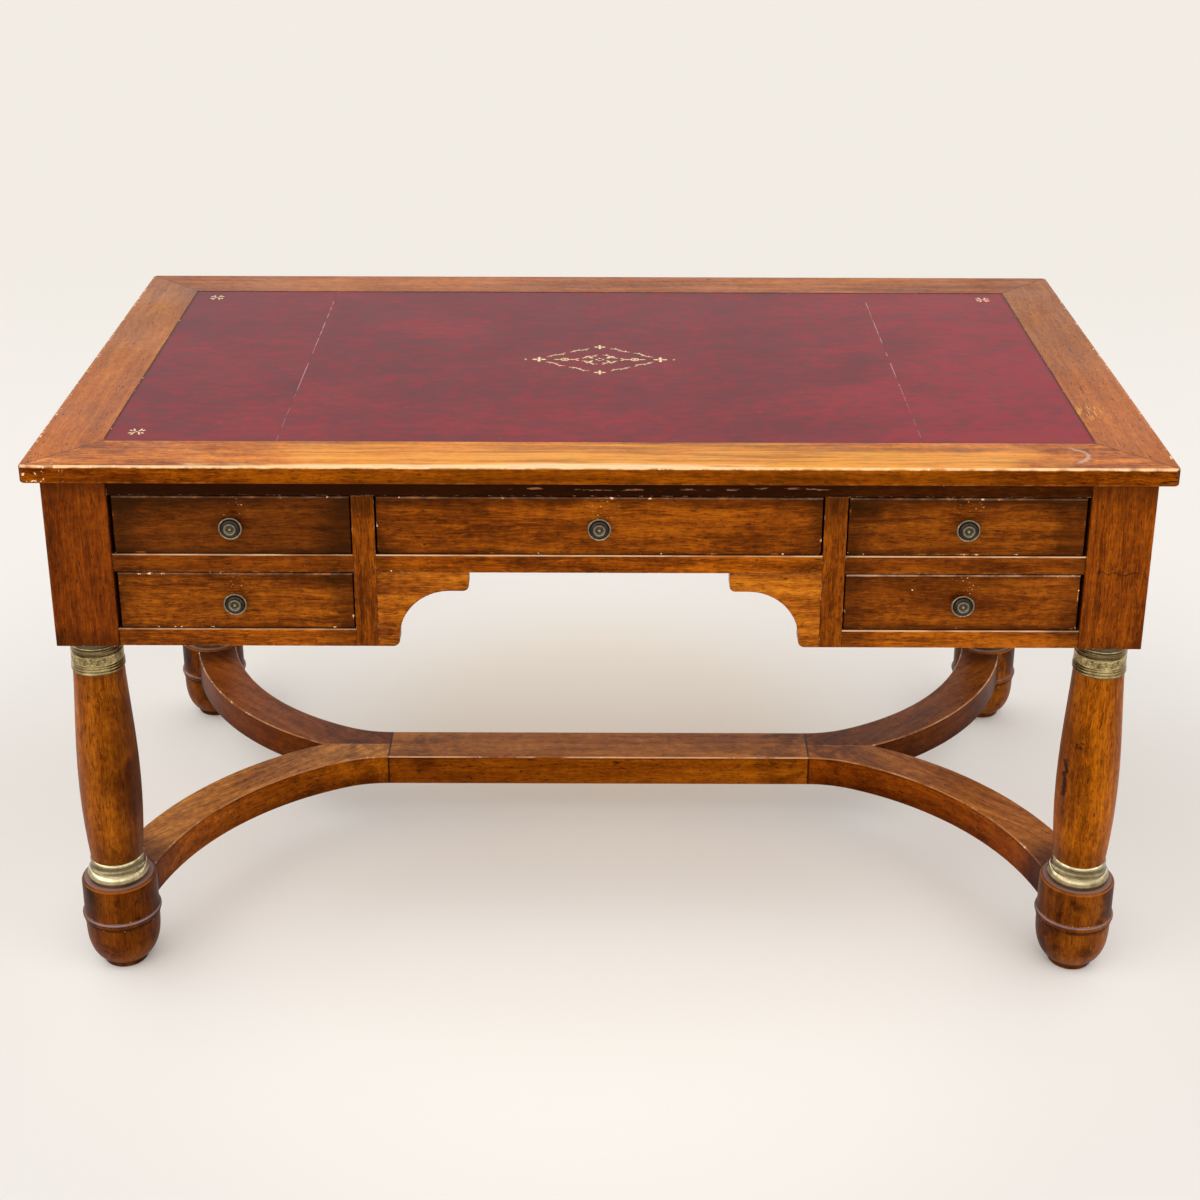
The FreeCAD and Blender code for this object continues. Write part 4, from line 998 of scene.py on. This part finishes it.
for collars, brass_bright, rubbed, speckled, hollow in (
        (top_set, brass_gold, 0.205, 0.15, band_high + 7.5 * MM),
        (base_set, brass_pale, 0.34, 0.09, base_low + 22.0 * MM)):
    brass = Finish(collars.name + "_brass")
    raised = brass.step("Attribute", {}, attribute_name="raised").outputs["Fac"]
    tarnish = brass.cloud(brass.place, scale=45, detail=3, rough=0.6)
    specks = brass.cloud(brass.place, scale=420, detail=3, rough=0.6)
    bright = brass.sum(brass.times(tarnish, 0.50), brass.times(specks, speckled),
                       brass.times(raised, 0.12), rubbed)
    brass.colour = brass.ramp(bright, ((0.36, brass_dark), (0.52, brass_mid), (0.76, brass_bright)))
    brass.tint(brass_dark, brass.times(brass.crevice(2.5 * MM), 0.4))
    brass.tint(pit_brown, brass.fade(specks, 0.68, 0.76, 0, 0.5))
    # Painted shade in the hollow, standing in for a dark reflection.
    brass.tint(brass_dark, brass.fade(brass.off(brass.z, -hollow), 5.2 * MM, 3.6 * MM, 0, 0.65))
    if collars is top_set:
        lip_low = band_high + 15.5 * MM
        brass.tint(lip_grey, brass.fade(brass.z, lip_low, lip_low + 1.2 * MM, 0, 0.85))
    dulled = brass.fade(tarnish, 0.3, 0.7, 0.30, 0.18)
    normal = brass.relief(specks, 0.5 * MM * speckled, 0.35)
    collars.data.materials.append(brass.done(dulled, normal, Metallic=1.0))

# The stretcher
# A straight bar and four curved arms, each sawn from a thick board with its grain along the chord, tenoned
# into the feet. It is redder than the rest, with its arrises rubbed light by shoes.
arm_tones = {"front_left": (0.490, 0.182, 0.0290), "front_right": (0.325, 0.095, 0.0110),
             "back_left": (0.208, 0.047, 0.0040), "back_right": (0.185, 0.045, 0.0032)}
bar_tone = (0.345, 0.107, 0.0150)
front_arm_side_shade = (0.50, 0.32, 0.07)
back_arm_side_shade = (0.47, 0.40, 0.22)
bar_side_shade = (0.53, 0.39, 0.08)
rubbed_arris = (0.46, 0.19, 0.06)
worn_arris = (0.80, 0.45, 0.23)
arm_low, arm_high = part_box("stretcher_arm_back_right")
joint_x = arm_low.x
chord_angle = math.atan2(arm_high.y - arm_low.y, arm_high.x - arm_low.x)


def shoe_wear(piece, side_shade_tint, arris_tone):
    """Painted shade on the sides, upper arrises rubbed light by shoes with a painted shadow under them, and
    black lines for the joints at the bar.
    """
    # Painted shade: the sides are darker than the faces that look up.
    piece.shade_all_but_top(side_shade_tint)
    from_joint = piece.off(piece.less(piece.off(piece.x), joint_x))
    smudges = piece.fade(piece.cloud(piece.place, scale=22, detail=4, rough=0.65, warp=0.4), 0.42, 0.62)
    near_joint = piece.fade(from_joint, 0.17, 0.03, 0.12, 0.6)
    piece.tint(smoke_and_shade_tint, piece.times(smudges, near_joint), "MULTIPLY")
    slope = piece.split(piece.step("NewGeometry", {}).outputs["True Normal"])[2]
    chamfer = piece.fade(piece.off(slope, -0.7), 0.22, 0.12)
    broken = piece.fade(piece.cloud(piece.place, scale=70, detail=2), 0.50, 0.60, 0.15, 1.0)
    piece.edge = piece.times(piece.most(piece.edge, piece.times(chamfer, broken)),
                             piece.fade(from_joint, 2 * MM, 5 * MM))
    piece.dirt_and_shade(piece.fade(from_joint, 2.2 * MM, 0.8 * MM), 0.85)
    scuffs = piece.fade(piece.cloud(piece.stretch(piece.place, (9, 9, 1)), detail=4, rough=0.6), 0.40, 0.54)
    piece.tint(arris_tone, piece.times(chamfer, scuffs, 0.85))
    # Painted shadow: a dark line on the side just under the upper arris.
    shadow_under_arris = piece.fade(piece.off(piece.z, 3.6 * MM, -arm_high.z), 1.6 * MM, 0.6 * MM)
    piece.dirt_and_shade(piece.times(shadow_under_arris, scuffs), 0.4)


for seed, corner in enumerate(corners):
    slant = chord_angle if corner in ("front_left", "back_right") else -chord_angle
    arm = OldPolish("stretcher_arm_" + corner, "x", arm_tones[corner], 120 + seed, turn=-slant,
                    wear=0.6, lively=0.8)
    shoe_wear(arm, front_arm_side_shade if "front" in corner else back_arm_side_shade, rubbed_arris)
    arm.darken_towards(arm.z, arm_high.z - 22 * MM, arm_low.z, 0.45)
    from_foot = arm.sum(arm.distance(*leg_axis(corner)), arm.swing(arm.stain, 60 * MM))
    arm.tint(smoke_and_shade_tint, arm.fade(from_foot, 125 * MM, 55 * MM, 0, 0.85), "MULTIPLY")
    arm.polish(0.06)
bar = OldPolish("stretcher_bar", "x", bar_tone, 125, wear=0.6, lively=0.7)
shoe_wear(bar, bar_side_shade, worn_arris)
bar.polish(0.06)
